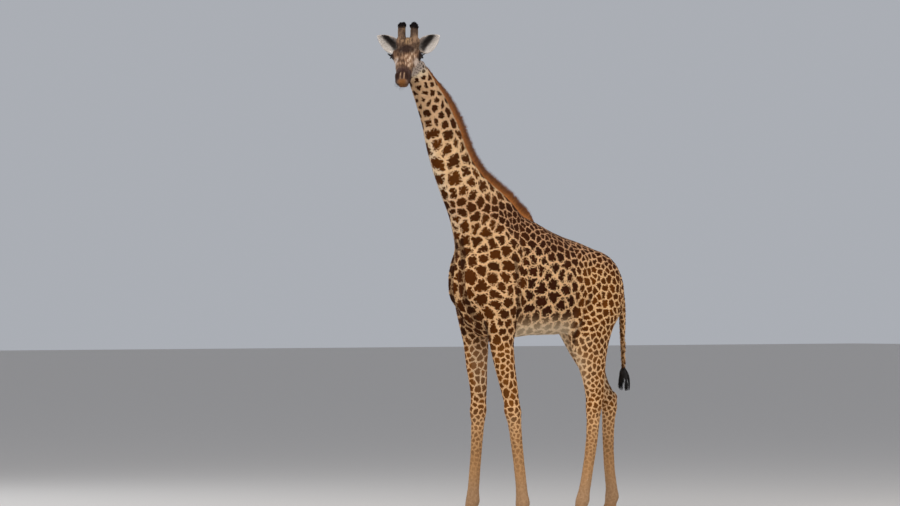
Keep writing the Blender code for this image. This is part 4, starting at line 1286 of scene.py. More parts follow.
def bent(tree, vector, scale, amount):
    """Coordinates pushed about by noise."""
    push = vector_math(tree, "SUBTRACT", noise(tree, vector, scale, output="Color"), (0.5, 0.5, 0.5))
    return vector_math(tree, "ADD", vector, vector_math(tree, "SCALE", push, amount))


def chosen_by(tree, amounts, values):
    """The sum of each value times its amount."""
    total = math_node(tree, "MULTIPLY", amounts[0], values[0])
    for amount, value in zip(amounts[1:], values[1:]):
        total = math_node(tree, "ADD", total, math_node(tree, "MULTIPLY", amount, value))
    return total


def finish_shader(tree, shader, colour, roughness, relief=None, strength=0.0, depth=0.0):
    """Leads colour and roughness into the shader, and a relief of that depth in metres."""
    tree.links.new(colour, shader.inputs["Base Color"])
    tree.links.new(roughness, shader.inputs["Roughness"])
    if relief is not None:
        links = [("Height", relief), ("Strength", strength), ("Distance", depth)]
        tree.links.new(node(tree, "ShaderNodeBump", links).outputs[0], shader.inputs["Normal"])


print("layers to read:", len(skin_data.attributes))

# %% The coat's net
coat, tree, shader = new_material("coat")
where = layer(tree, "pattern")
width = layer(tree, "width", "Fac")
waved = bent(tree, where, 1.3, 0.50)
ragged = bent(tree, waved, 4.5, 0.13)
push = vector_math(tree, "SCALE", vector_math(tree, "SUBTRACT", ragged, where), width)
here = vector_math(tree, "ADD", layer(tree, "place"), push)
leaf_middles = [layer(tree, f"middle_{rank}") for rank in range(NEAREST)]
fars = [vector_math(tree, "DISTANCE", here, leaf_middle) for leaf_middle in leaf_middles]
owns = [node(tree, "ShaderNodeTexWhiteNoise", [("Vector", leaf_middle)]).outputs["Value"]
        for leaf_middle in leaf_middles]
low_one, low_two = math_node(tree, "MINIMUM", *fars[:2]), math_node(tree, "MINIMUM", *fars[2:])
high_one, high_two = math_node(tree, "MAXIMUM", *fars[:2]), math_node(tree, "MAXIMUM", *fars[2:])
least = math_node(tree, "MINIMUM", low_one, low_two)
next_least = math_node(tree, "MINIMUM", math_node(tree, "MAXIMUM", low_one, low_two),
                       math_node(tree, "MINIMUM", high_one, high_two))
edges = math_node(tree, "DIVIDE", math_node(tree, "SUBTRACT", next_least, least), width)
is_mine = [math_node(tree, "LESS_THAN", far, math_node(tree, "ADD", least, 0.000001)) for far in fars]
own = chosen_by(tree, is_mine, owns)
cuts = node(tree, "ShaderNodeTexVoronoi", [("Vector", ragged), ("Scale", 1.95), ("Randomness", 1.0)],
            feature="DISTANCE_TO_EDGE").outputs["Distance"]
links = [(0, width), (1, 0.060), (2, 0.105), (3, 0.16), (4, 0.33)]  # leaf widths, then their notches' depths
lobed = node(tree, "ShaderNodeMapRange", links).outputs[0]
notch = math_node(tree, "MULTIPLY", math_node(tree, "SUBTRACT", 1.0, ramp(tree, cuts, 0.0, 0.12)), lobed)
height = edges
for lowered_by in (notch, layer(tree, "gap", "Fac"), math_node(tree, "MULTIPLY", own, 0.05)):
    height = math_node(tree, "SUBTRACT", height, lowered_by)
in_leaf = math_node(tree, "MULTIPLY", ramp(tree, height, -0.035, 0.045), layer(tree, "shows", "Fac"))
deep = ramp(tree, height, 0.03, 0.40)
print("nodes of the net:", len(tree.nodes))

# %% The coat's colours
brown = blend_colours(tree, own, (1.45, 1.40, 1.25, 1), (0.80, 0.76, 0.72, 1))
brown = blend_colours(tree, 1.0, layer(tree, "leaf", "Color"), brown, "MULTIPLY")
brown = blend_colours(tree, math_node(tree, "MULTIPLY", deep, 0.35), brown, (0.010, 0.004, 0.002, 1))
mottle = noise(tree, where, 2.2, 3.0)
tan = blend_colours(tree, ramp(tree, mottle, 0.3, 0.7), (0.90, 0.87, 0.82, 1), (1.10, 1.10, 1.10, 1))
tan = blend_colours(tree, 1.0, layer(tree, "ground", "Color"), tan, "MULTIPLY")
grain = noise(tree, object_place(tree), 420.0)
grain_colour = blend_colours(tree, grain, (0.82, 0.82, 0.82, 1), (1.16, 1.16, 1.16, 1))
colour = blend_colours(tree, 1.0, blend_colours(tree, in_leaf, tan, brown), grain_colour, "MULTIPLY")
finish_shader(tree, shader, colour, spanned(tree, grain, 0.62, 0.82), grain, 0.30, 0.002)
shader.inputs["Specular IOR Level"].default_value = 0.06
shader.inputs["Sheen Weight"].default_value = 0.01
shader.inputs["Sheen Roughness"].default_value = 0.45
print("coat nodes:", len(tree.nodes))

# %% [markdown]
# ## The skin as a piece
#
# The carved mesh becomes an object, wears the coat material and stands for every node of flesh. It
# is also unwrapped here, by its own angles, into flat islands, in a map named OFBake. The hair takes
# its colours in the export from the place of its root on this unwrap, so the map has the name that
# the bake looks for.

# %% Skin object and its unwrap
UNWRAP_ANGLE = math.radians(66)
ISLAND_MARGIN = 0.0008
skin_object = add_object("skin", skin_data)
skin_data.shade_smooth()
skin_data.materials.clear()
skin_data.materials.append(coat)
skin_data.uv_layers.new(name="OFBake")
bpy.context.view_layer.objects.active = skin_object
skin_object.select_set(True)
bpy.ops.object.mode_set(mode="EDIT")
bpy.ops.mesh.select_all(action="SELECT")
bpy.ops.uv.smart_project(angle_limit=UNWRAP_ANGLE, island_margin=ISLAND_MARGIN)
bpy.ops.object.mode_set(mode="OBJECT")
skin_object.select_set(False)
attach(skin_object, "root")
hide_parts(*FLESH)
print("skin triangles:", len(skin_data.polygons))

# %% [markdown]
# ## Eyes
#
# A giraffe's eye is a large dark ball with a clear bulge in front, the cornea, a brown iris that
# shows only in strong light and a pupil that is a flat oval lying level. Each ball is turned from a
# sphere, and carries its own coordinates as an attribute, so that the iris sits where the eye looks.

# %% Eyeball
CORNEA_ANGLE = math.radians(42)
CORNEA_RISE = 0.0022


def eye_axes(side):
    """The eye's own axes in the world: towards the nose, up and out."""
    flip = np.array([1, side, 1])
    return [Vector((head_axes.T @ (axis * flip)).tolist()) for axis in (EYE_FRONT, EYE_TOP, EYE_OUT)]


def eye_place(side, along, above, out):
    """A point given in the eye's own axes, as a place in the world."""
    front, top, outward = eye_axes(side)
    flip = np.array([1, side, 1])
    return from_head(*(EYE_CENTRE * flip)) + front * along + top * above + outward * out


def closed_mesh(name, points, faces, triangles=False):
    """A smooth mesh with every face turned outwards."""
    data = bpy.data.meshes.new(name)
    data.from_pydata(points, [], faces)
    shape = bmesh.new()
    shape.from_mesh(data)
    if triangles:
        bmesh.ops.triangulate(shape, faces=shape.faces)
    bmesh.ops.recalc_face_normals(shape, faces=shape.faces)
    shape.to_mesh(data)
    shape.free()
    data.shade_smooth()
    return data


def eyeball(side):
    sphere = bmesh.new()
    bmesh.ops.create_uvsphere(sphere, u_segments=48, v_segments=36, radius=EYE_RADIUS)
    sphere.verts.index_update()
    gaze = []
    spots = []
    for vert in sphere.verts:
        angle = vert.co.angle(Vector((0, 0, 1)))
        rise = CORNEA_RISE * max(0, 1 - (angle / CORNEA_ANGLE) ** 2) ** 1.5
        gaze.append(vert.co / EYE_RADIUS)
        spots.append(eye_place(side, *(vert.co * (1 + rise / EYE_RADIUS))))
    faces = [[vert.index for vert in face.verts] for face in sphere.faces]
    sphere.free()
    data = closed_mesh("eye", spots, faces)
    store(data, gaze=np.array(gaze))
    return data


print("eyeball", 2 * EYE_RADIUS, "m across, cornea", CORNEA_RISE, "m proud")

# %% Eye material
EYE_RINGS = [  # where each ring begins and ends, and its colour
    (0.60, 0.68, (0.020, 0.012, 0.010, 1)),  # dark rim of the iris
    (0.80, 0.90, (0.10, 0.066, 0.055, 1)),  # white of the eye, brown as in most grazing animals
]
PUPIL_FLATNESS = 2.1


def length_of(tree, first, second):
    squares = [math_node(tree, "POWER", value, 2.0) for value in (first, second)]
    return math_node(tree, "SQRT", math_node(tree, "ADD", *squares))


eye_material, tree, shader = new_material("eye")
gaze = node(tree, "ShaderNodeSeparateXYZ", [(0, layer(tree, "gaze"))])
level, upright = gaze.outputs["X"], gaze.outputs["Y"]
from_middle = length_of(tree, level, upright)
from_pupil = length_of(tree, level, math_node(tree, "MULTIPLY", upright, PUPIL_FLATNESS))
rays = noise(tree, layer(tree, "gaze"), 26.0, 3.0)
colour = blend_colours(tree, rays, (0.012, 0.006, 0.004, 1), (0.060, 0.030, 0.016, 1))
for begins, ends_at, ring_colour in EYE_RINGS:
    colour = blend_colours(tree, ramp(tree, from_middle, begins, ends_at), colour, ring_colour)
colour = blend_colours(tree, ramp(tree, from_pupil, 0.40, 0.46), (0.003, 0.003, 0.005, 1), colour)
finish_shader(tree, shader, colour, spanned(tree, rays, 0.04, 0.09))
shader.inputs["IOR"].default_value = 1.38
shader.inputs["Coat Weight"].default_value = 0.6
shader.inputs["Coat Roughness"].default_value = 0.03
print("eye nodes:", len(tree.nodes))

# %% Both eyes
SIDES = {"left": 1, "right": -1}
for side_name, side in SIDES.items():
    data = eyeball(side)
    data.materials.append(eye_material)
    ball = add_object(f"eyeball_{side_name}", data)
    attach(ball, "root")
    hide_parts(f"eye_{side_name}")
print("eyes made:", len(SIDES))

# %% [markdown]
# ## Locks along a path
#
# Lashes, lid rims, whiskers, tail locks and the long hair of the ears are all thin tapered tubes
# along a curve. One helper lofts such a tube with a few sides and closes both ends, and gathers
# them into a list, so that hundreds become one mesh. Each vertex keeps how far along its lock it
# lies, for the material to darken the tips.


# %% Tapered tubes
class Locks:
    """Tapered tubes gathered into one mesh."""

    def __init__(self):
        self.points = []
        self.faces = []
        self.along = []
        self.tint = []

    def add(self, path, radii, sides=3, flat=1.0, tint=0.5, facing=None):
        """A tube along the path with a radius at each point, flattened across facing."""
        path = [Vector(place) for place in path]
        start = len(self.points)
        for i, place in enumerate(path):
            ahead = (path[min(i + 1, len(path) - 1)] - path[max(i - 1, 0)]).normalized()
            across = ahead.cross(facing if facing else ahead.orthogonal()).normalized()
            lift = across.cross(ahead)
            for k in range(sides):
                turn = math.tau * k / sides
                step = across * math.cos(turn) + lift * (math.sin(turn) * flat)
                self.points.append(tuple(place + step * radii[i]))
                self.along.append(i / (len(path) - 1))
                self.tint.append(tint)
        for i in range(len(path) - 1):
            for k in range(sides):
                a, b = start + i * sides + k, start + i * sides + (k + 1) % sides
                self.faces.append((a, a + sides, b + sides, b))
        self.faces.append(tuple(start + k for k in range(sides)))
        last = start + (len(path) - 1) * sides
        self.faces.append(tuple(last + k for k in reversed(range(sides))))

    def piece(self, name, material):
        """The gathered tubes as one piece of the scene."""
        data = closed_mesh(name, self.points, self.faces, triangles=True)
        store(data, along=np.array(self.along), tint=np.array(self.tint))
        data.materials.append(material)
        made = add_object(name, data)
        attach(made, "root")
        print(name, len(data.polygons), "triangles")
        return made


print("a new bundle of locks holds", len(Locks().faces), "faces")


# %% Hair's material
def hair_material(name, root, tip, roughness, streak_scale=900.0):
    """Hair that runs from one colour at the root to another at the tip, each lock a little its own."""
    made, tree, shader = new_material(name)
    along = layer(tree, "along", "Fac")
    tint = layer(tree, "tint", "Fac")
    streaks = noise(tree, object_place(tree), streak_scale)
    off_middle = math_node(tree, "MULTIPLY", math_node(tree, "SUBTRACT", tint, 0.5), 0.5)
    turn = math_node(tree, "ADD", along, off_middle)
    colour = blend_colours(tree, ramp(tree, turn, 0.25, 0.85), (*linear(*root), 1), (*linear(*tip), 1))
    shade = blend_colours(tree, tint, (0.72, 0.72, 0.72, 1), (1.25, 1.22, 1.18, 1))
    fine = blend_colours(tree, streaks, (0.75, 0.75, 0.75, 1), (1.25, 1.25, 1.25, 1))
    for variation in (shade, fine):
        colour = blend_colours(tree, 1.0, colour, variation, "MULTIPLY")
    finish_shader(tree, shader, colour, spanned(tree, streaks, roughness - 0.1, roughness + 0.1))
    shader.inputs["Specular IOR Level"].default_value = 0.30
    return made


black_hair = hair_material("black hair", (26, 20, 19), (14, 10, 10), 0.42)
lid_skin = hair_material("lid skin", (40, 29, 26), (40, 29, 26), 0.38, 500.0)
print("hair materials ready")

# %% [markdown]
# ## Lids and lashes
#
# The lids end in a bare dark wet edge. It is laid as a thin tube along the slit, on a sphere a
# little larger than the eyeball. The upper lashes are long, thick and nearly straight, and stand out
# sideways like a visor. The lower ones are short.

# %% Lid rims
RIM_RADIUS = 0.0019
RIM_STEPS = 30
UPPER, LOWER = 0, 1


def on_lid(side, share, lid, clear):
    """A place on the edge of a lid, a little clear of the ball; the share goes from -1 to 1 along it."""
    slit_place = SLIT_HALF * share
    lid_rise = float(slit_edges(np.array(slit_place))[lid])
    shell = EYE_RADIUS + clear
    out_from_eye = math.sqrt(max(shell ** 2 - slit_place ** 2 - lid_rise ** 2, 0))
    return eye_place(side, slit_place, lid_rise, out_from_eye)


rims = Locks()
for side in SIDES.values():
    for lid in (UPPER, LOWER):
        turns = np.linspace(-1, 1, RIM_STEPS) * math.pi / 2
        path = [on_lid(side, math.sin(turn), lid, 0.0012) for turn in turns]
        rims.add(path, [RIM_RADIUS] * RIM_STEPS, 8)
rims.piece("lid_rims", lid_skin)

# %% Lashes
LASHES = [  # lid, how many, length, and 1 where they rise or -1 where they hang
    (UPPER, 74, 0.037, 1),
    (LOWER, 40, 0.015, -1),
]
LASH_RADII = [0.00075, 0.00072, 0.00062, 0.00048, 0.0003, 0.00008]
lashes = Locks()
for side in SIDES.values():
    front, top, outward = eye_axes(side)
    for lid, count, length, rise in LASHES:
        for k in range(count):
            share = -0.92 + 1.84 * (k + chance.uniform(-0.4, 0.4)) / (count - 1)
            root = on_lid(side, share, lid, 0.0020)
            reach = length * (1 - 0.45 * share ** 2) * chance.uniform(0.8, 1.1)
            way = outward + front * (0.55 * share + chance.normal(0, 0.07)) + top * (0.10 * rise)
            way.normalize()
            path = []
            for step in np.linspace(0, 1, len(LASH_RADII)):
                bend = top * (rise * 0.22 * step ** 2 - 0.10 * math.sin(math.pi * step))
                path.append(root + (way * step + bend) * reach)
            lashes.add(path, LASH_RADII, 3, tint=chance.uniform(0.2, 0.8))
lashes.piece("lashes", black_hair)

# %% [markdown]
# ## Hooves
#
# Each foot has two hooves, half-moon shaped, flat below, with a rounded toe wall that flares a
# little and carries growth rings. They are lofted in rings round the claw of the solid, whose
# own box and sloping top give the size.

# %% Hoof shape
CLAW_FORM = np.array([  # share of the height, then reach at the toe and the heel, and width, as shares
    (0.0, 0.950, 0.960, 0.940),
    (0.03, 0.985, 0.985, 0.975),
    (0.07, 0.990, 0.990, 0.985),
    (0.30, 0.920, 0.955, 0.980),
    (0.60, 0.830, 0.915, 0.965),
    (0.85, 0.760, 0.880, 0.945),
    (1.0, 0.720, 0.860, 0.930),
])
CLAW_SIDES = 44
CLAW_RINGS = 34
TOE_SHARE = 0.66 / 1.04  # of the claw's length, from the toe to its widest place
RING_PITCH = 0.0085  # between two growth rings
RING_DEPTH = 0.0007
CLAW_EDGE = math.radians(50)


def claw(name):
    """A hoof inside the solid of that name."""
    solid = places(nodes[name].data)
    low, high = solid.min(0), solid.max(0)
    top = solid[solid[:, 2] > 0.06]
    slope, lift = np.polyfit(top[:, 1], top[:, 2], 1)
    toe_reach = TOE_SHARE * (high[1] - low[1])
    middle_y = low[1] + toe_reach
    heel_reach = high[1] - middle_y
    half = (high[0] - low[0]) / 2
    middle_x = (high[0] + low[0]) / 2
    spots = []
    for share in np.linspace(0, 1, CLAW_RINGS) ** 0.9:
        toe, heel, width = (np.interp(share, CLAW_FORM[:, 0], CLAW_FORM[:, i]) for i in (1, 2, 3))
        for k in range(CLAW_SIDES):
            c, s = math.cos(math.tau * k / CLAW_SIDES), math.sin(math.tau * k / CLAW_SIDES)
            x = half * width * math.copysign(abs(c) ** 0.80, c)
            reach = heel * heel_reach if s > 0 else toe * toe_reach
            y = reach * math.copysign(abs(s) ** 0.86, s)
            height = share * (slope * (middle_y + y) + lift)
            wave = math.sin(math.tau * height / RING_PITCH + 0.6 * math.sin(3 * k / CLAW_SIDES))
            shrink = 1 - RING_DEPTH / half * (0.5 + 0.5 * wave) * min(1, share / 0.08)
            spots.append(Vector((middle_x + x * shrink, middle_y + y * shrink, height)))
    faces = []
    for under in range(0, len(spots) - CLAW_SIDES, CLAW_SIDES):
        for k in range(CLAW_SIDES):
            m = (k + 1) % CLAW_SIDES
            faces.append((under + k, under + m, under + CLAW_SIDES + m, under + CLAW_SIDES + k))
    for start in (0, len(spots) - CLAW_SIDES):
        spots.append(sum(spots[start:start + CLAW_SIDES], Vector()) / CLAW_SIDES)
        faces += [(start + k, start + (k + 1) % CLAW_SIDES, len(spots) - 1) for k in range(CLAW_SIDES)]
    data = closed_mesh(name, spots, faces)
    data.set_sharp_from_angle(angle=CLAW_EDGE)
    return data


print("claws of", CLAW_SIDES, "sides and", CLAW_RINGS, "rings")

# %% Horn
FIBRE_SCALE = (260, 260, 12)
horn, tree, shader = new_material("horn")
place = object_place(tree)
stretched_place = node(tree, "ShaderNodeMapping", [("Vector", place), ("Scale", FIBRE_SCALE)]).outputs[0]
fibres = noise(tree, stretched_place, 1.0, 3.0)
height = node(tree, "ShaderNodeSeparateXYZ", [(0, place)]).outputs["Z"]
bands = math_node(tree, "SINE", math_node(tree, "MULTIPLY", height, 740.0))
wear = noise(tree, place, 38.0, 4.0)
colour = blend_colours(tree, fibres, (0.040, 0.028, 0.022, 1), (0.130, 0.096, 0.072, 1))
colour = blend_colours(tree, ramp(tree, wear, 0.52, 0.72), colour, (0.21, 0.165, 0.125, 1))
dusty = math_node(tree, "SUBTRACT", 1.0, ramp(tree, height, 0.0, 0.03))
colour = blend_colours(tree, math_node(tree, "MULTIPLY", dusty, 0.5), colour, (0.30, 0.25, 0.20, 1))
relief = math_node(tree, "ADD", math_node(tree, "MULTIPLY", bands, 0.25), fibres)
finish_shader(tree, shader, colour, spanned(tree, wear, 0.38, 0.66), relief, 0.35, 0.0008)
print("horn nodes:", len(tree.nodes))

# %% The eight hooves
for leg in LEGS:
    for half_name in ("outer", "inner"):
        data = claw(f"hoof_{leg}_{half_name}")
        data.materials.append(horn)
        hoof = add_object(f"claw_{leg}_{half_name}", data)
        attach(hoof, "root")
        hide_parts(f"hoof_{leg}_{half_name}")
print("hooves:", 2 * len(LEGS))

# %% [markdown]
# ## Hair that grows on a surface
#
# The short coat and the standing mane are both thousands of small tufts on a surface. Geometry Nodes
# strew points over the surface, turn one tuft at each point so that it lies along the surface's own
# flow, size it by the surface's own lengths, and make it all real. The tree is built once. Its
# inputs are the tuft, how many there are to the square metre, a seed and the material. Lengths,
# widths and directions are attributes of the surface, so that one tree serves every part.

# %% Nodes of the growing tree
LENGTHS = (0.72, 1.18)  # least and most of the length that the surface asks for
TREE_INPUTS = {
    "Surface": "NodeSocketGeometry",
    "Tuft": "NodeSocketObject",
    "Density": "NodeSocketFloat",
    "Seed": "NodeSocketInt",
    "Disorder": "NodeSocketFloat",
    "Material": "NodeSocketMaterial",
}


def read(tree, name, kind="FLOAT"):
    made = node(tree, "GeometryNodeInputNamedAttribute", [("Name", name)], data_type=kind)
    return made.outputs["Attribute"]


def random_number(tree, low, high, seed):
    links = [(2, low), (3, high), ("Seed", seed)]
    return node(tree, "FunctionNodeRandomValue", links, data_type="FLOAT").outputs[1]


def stored(tree, geometry, name, value, kind):
    links = [("Geometry", geometry), ("Name", name), ("Value", value)]
    return node(tree, "GeometryNodeStoreNamedAttribute", links, data_type=kind, domain="POINT").outputs[0]


print("inputs of the tree:", ", ".join(TREE_INPUTS))


# %% The growing tree
def growing_tree():
    tree = bpy.data.node_groups.new("growing", "GeometryNodeTree")
    for name, kind in TREE_INPUTS.items():
        tree.interface.new_socket(name, in_out="INPUT", socket_type=kind)
    tree.interface.new_socket("Hair", in_out="OUTPUT", socket_type="NodeSocketGeometry")
    given = node(tree, "NodeGroupInput").outputs
    density = math_node(tree, "MULTIPLY", given["Density"], read(tree, "thick"))
    strewn = node(tree, "GeometryNodeDistributePointsOnFaces",
                  [("Mesh", given["Surface"]), ("Density", density), ("Seed", given["Seed"])]).outputs
    apart = node(tree, "FunctionNodeRandomValue", [(0, (-1, -1, -1)), (1, (1, 1, 1)), ("Seed", 3)],
                 data_type="FLOAT_VECTOR").outputs[0]
    apart = vector_math(tree, "SCALE", apart, given["Disorder"])
    along = vector_math(tree, "ADD", read(tree, "flow", "FLOAT_VECTOR"), apart)
    upward = vector_math(tree, "ADD", strewn["Normal"], apart)
    turned = node(tree, "FunctionNodeAlignRotationToVector", [("Vector", along)], axis="X").outputs[0]
    turned = node(tree, "FunctionNodeAlignRotationToVector", [("Rotation", turned), ("Vector", upward)],
                  axis="Z", pivot_axis="X").outputs[0]
    longer = random_number(tree, *LENGTHS, 5)
    long = math_node(tree, "MULTIPLY", read(tree, "reach"), longer)
    sizes = node(tree, "ShaderNodeCombineXYZ", [(0, long), (1, read(tree, "wide")), (2, read(tree, "rise"))])
    tuft = node(tree, "GeometryNodeObjectInfo", [("Object", given["Tuft"])])
    roots = stored(tree, strewn["Points"], "tint", random_number(tree, 0.0, 1.0, 9), "FLOAT")
    roots = stored(tree, roots, "skinward", strewn["Normal"], "FLOAT_VECTOR")
    grown = node(tree, "GeometryNodeInstanceOnPoints",
                 [("Points", roots), ("Instance", tuft.outputs["Geometry"]), ("Rotation", turned),
                  ("Scale", sizes.outputs[0])])
    real = node(tree, "GeometryNodeRealizeInstances", [("Geometry", grown.outputs[0])])
    done = node(tree, "GeometryNodeSetMaterial",
                [("Geometry", real.outputs[0]), ("Material", given["Material"])])
    node(tree, "NodeGroupOutput", [("Hair", done.outputs[0])])
    return tree


growing = growing_tree()
sockets = {item.name: item.identifier for item in growing.interface.items_tree if item.in_out == "INPUT"}
print("growing tree:", len(growing.nodes), "nodes")

# %% [markdown]
# A tuft lies along X from its root at the origin, one unit long, one wide and one high, and the tree
# scales it. Each is a few closed spikes: two flat ones for the coat, three tall ones for the mane.


# %% Tufts
def tuft_object(name, spikes, levels):
    """Closed three-sided spikes: root place, root half width, tip sideways, tip height, length."""
    points, faces, along = [], [], []
    for root, half, aside, height, long in spikes:
        start = len(points)
        for share in levels:
            middle_y = root + (aside - root) * share
            middle_z = height * share ** 1.5
            slim = half * (1 - share) ** 0.7
            for y, z in ((-slim, -0.2 * slim), (slim, -0.2 * slim), (0, 0.9 * slim)):
                points.append((long * share, middle_y + y, middle_z + z))
                along.append(share)
        points.append((long, aside, height))
        along.append(1.0)
        tip = len(points) - 1
        for level in range(len(levels) - 1):
            for k in range(3):
                a, b = start + 3 * level + k, start + 3 * level + (k + 1) % 3
                faces += [(a, b, b + 3), (a, b + 3, a + 3)]
        last = start + 3 * (len(levels) - 1)
        faces += [(last + k, last + (k + 1) % 3, tip) for k in range(3)]
        faces.append((start, start + 2, start + 1))
    data = closed_mesh(name, points, faces)
    store(data, along=np.array(along))
    return add_object(name, data)


COAT_SPIKES = [(-0.22, 0.36, -0.34, 0.85, 1.0), (0.24, 0.32, 0.46, 1.0, 0.86)]
MANE_SPIKES = [(-0.3, 0.42, -0.85, 0.5, 1.0), (0.3, 0.42, 0.75, -0.3, 0.93),
               (0.0, 0.45, 0.1, -0.9, 0.86)]
coat_tuft = tuft_object("coat_tuft", COAT_SPIKES, (0.0,))
mane_tuft = tuft_object("mane_tuft", MANE_SPIKES, (0.0, 0.55))
print("triangles in a tuft:", len(coat_tuft.data.polygons), len(mane_tuft.data.polygons))

# %% [markdown]
# Two things are given to the hair after it has grown. Its map puts each tuft on a small patch at its
# root's place on the skin's unwrap, so that a tuft has the colour of the skin under it. Its normals
# lean towards the skin's, so that the coat is lit as one soft surface, and not as thousands of spikes.

# %% Growing a piece of hair
PATCH = 0.003  # a tuft's patch on the unwrap


def give_map(hair, tuft):
    """The map OFBake: each tuft a small patch at its root's place on the surface's unwrap."""
    root = values_of(hair.attributes["OFBake"].data, "vector", 2, np.float32)
    hair.attributes.remove(hair.attributes["OFBake"])
    own = places(tuft.data)[:, :2]
    own = (own - own.min(0)) / (own.max(0) - own.min(0)) - 0.5
    count = len(hair.vertices) // len(own)
    spread_out = root.clip(PATCH, 1 - PATCH) + PATCH * np.tile(own, (count, 1))
    unwrap = hair.uv_layers.new(name="OFBake")
    corners = values_of(hair.loops, "vertex_index", kind=int)
    unwrap.data.foreach_set("uv", spread_out[corners].astype(np.float32).ravel())


def lean_normals(hair, own_shade):
    """Shades each tuft mostly as the skin under it, and a little as its own shape."""
    skinward = values_of(hair.attributes["skinward"].data, "vector", 3, np.float32)
    leaning = skinward + own_shade * directions(hair)
    leaning /= np.linalg.norm(leaning, axis=1)[:, None].clip(1e-6)
    hair.attributes.remove(hair.attributes["skinward"])
    hair.normals_split_custom_set_from_vertices(leaning.tolist())


def grow(name, surface, tuft, wanted, seed, disorder, material, own_shade=0.22):
    """Hair on a surface object: about the wanted number of tufts, as one plain piece."""
    data = surface.data
    areas = values_of(data.polygons, "area", kind=np.float32)
    thick = values_of(data.attributes["thick"].data, "value", kind=np.float32)
    corners = values_of(data.loops, "vertex_index", kind=int)
    counts = values_of(data.polygons, "loop_total", kind=int)
    face_thick = np.bincount(np.repeat(np.arange(len(counts)), counts), thick[corners]) / counts
    growth = surface.modifiers.new("growth", "NODES")
    growth.node_group = growing
    growth[sockets["Tuft"]] = tuft
    growth[sockets["Density"]] = float(wanted / (areas * face_thick).sum())
    growth[sockets["Seed"]] = seed
    growth[sockets["Disorder"]] = disorder
    growth[sockets["Material"]] = material
    graph = bpy.context.evaluated_depsgraph_get()
    hair = bpy.data.meshes.new_from_object(surface.evaluated_get(graph))
    surface.modifiers.remove(growth)
    hair.name = name
    give_map(hair, tuft)
    lean_normals(hair, own_shade)
    made = add_object(name, hair)
    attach(made, "root")
    print(name, len(hair.polygons), "triangles")
    return made


# %% [markdown]
# ## The lie of the coat
#
# Hair points back along the trunk, down the neck and legs, from the nose up over the face and out
# along the ears. It is 6 mm on the face, 15 mm on the body, longer under the belly and at the tail's
# end, and stands up in black tufts on the ossicones and in a curly patch on the forehead.

# %% Which part each place belongs to
part_faces = []
part_points = []
part_of_face = []
for name in FLESH:
    solid = nodes[name].data
    base = len(part_points)
    part_points += [vert.co for vert in solid.vertices]
    part_faces += [tuple(base + k for k in face.vertices) for face in solid.polygons]
    part_of_face += [name] * len(solid.polygons)
parts = BVHTree.FromPolygons(part_points, part_faces)
part = np.array([part_of_face[parts.find_nearest(Vector(place))[2]] for place in points])


def is_part(*names):
    return np.isin(part, names)


ears = is_part("ear_left", "ear_right")
ossicones = is_part("ossicone_left", "ossicone_right")
print("places on the head:", int(is_part("head").sum()))


# %% Flow
def in_world(directions_now):
    """Directions in the head's axes, as directions in the world."""
    return np.asarray(directions_now, float) @ head_axes


flow = np.tile([0.0, 1.0, -0.35], (size, 1))
flow[is_part("neck")] = (0, 0.65, -0.80)
limbs = [name for name in FLESH if name.startswith("leg_")]
flow[is_part(*limbs, "tail")] = (0, 0.10, -1)
blend_down = np.maximum(front_legs, hind_legs)[:, None]
flow = blended(flow, [(np.array([0, 0.10, -1]), blend_down)])
head_side = np.sign(left)
on_face = is_part("head")
face_flow = np.column_stack([np.full(size, -1.0), 0.30 * head_side, np.full(size, -0.25)])
flow[on_face] = in_world(face_flow)[on_face]
ear_flow = np.column_stack([np.full(size, -0.18), 0.82 * head_side, np.full(size, 0.45)])
flow[ears] = in_world(ear_flow)[ears]
flow[ossicones] = in_world([[-0.5, 0.1, 0.85]])
swirl = np.column_stack([soft_noise(points, 9, seed) for seed in (31, 32, 33)])
flow += 0.22 * swirl
curly = brow_patch * on_face
knobs = ossicones & (points[:, 2] + 0.4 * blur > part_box("ossicone_left")[1].z - 0.047)
wild = np.column_stack([soft_noise(points, 160, seed) for seed in (34, 35, 36)])
flow += wild * (1.4 * curly + 1.0 * knobs)[:, None]
flow -= normals * (flow * normals).sum(1)[:, None]
flow /= np.linalg.norm(flow, axis=1)[:, None].clip(1e-6)
print("curly vertices:", int((curly > 0.5).sum()), "on the knobs:", int(knobs.sum()))

# %% How long the coat is
inside_ear = facing_ahead * ears
clump = smoothstep(soft_noise(points, 110, 37), -0.3, 0.7)
near_coronet = 1 - smoothstep(tall, 0.115, 0.15)
reach = blended(np.full(size, 0.0150), [
    (0.0190, belly),
    (0.0120, blend_down[:, 0]),
    (0.0085, 1 - smoothstep(tall, 0.6, 1.0)),
])
face_reach = 0.0075 - 0.0042 * smoothstep(ahead, 0.12, 0.30) + 0.004 * smoothstep(-ahead, 0.05, 0.12)
ear_reach = 0.008 + 0.010 * inside_ear * (1 - smoothstep(ear_along, 0.5, 0.9))
reach = np.where(on_face, face_reach, reach)
reach = np.where(is_part("tail"), 0.013 + 0.030 * (1 - smoothstep(tall, 1.38, 1.85)), reach)
reach = np.where(ears, ear_reach, reach)
reach = np.where(ossicones, np.where(knobs, 0.008 + 0.010 * clump, 0.007), reach)
reach += (0.012 - reach) * curly
print("coat from", reach.min().round(4), "to", reach.max().round(4))

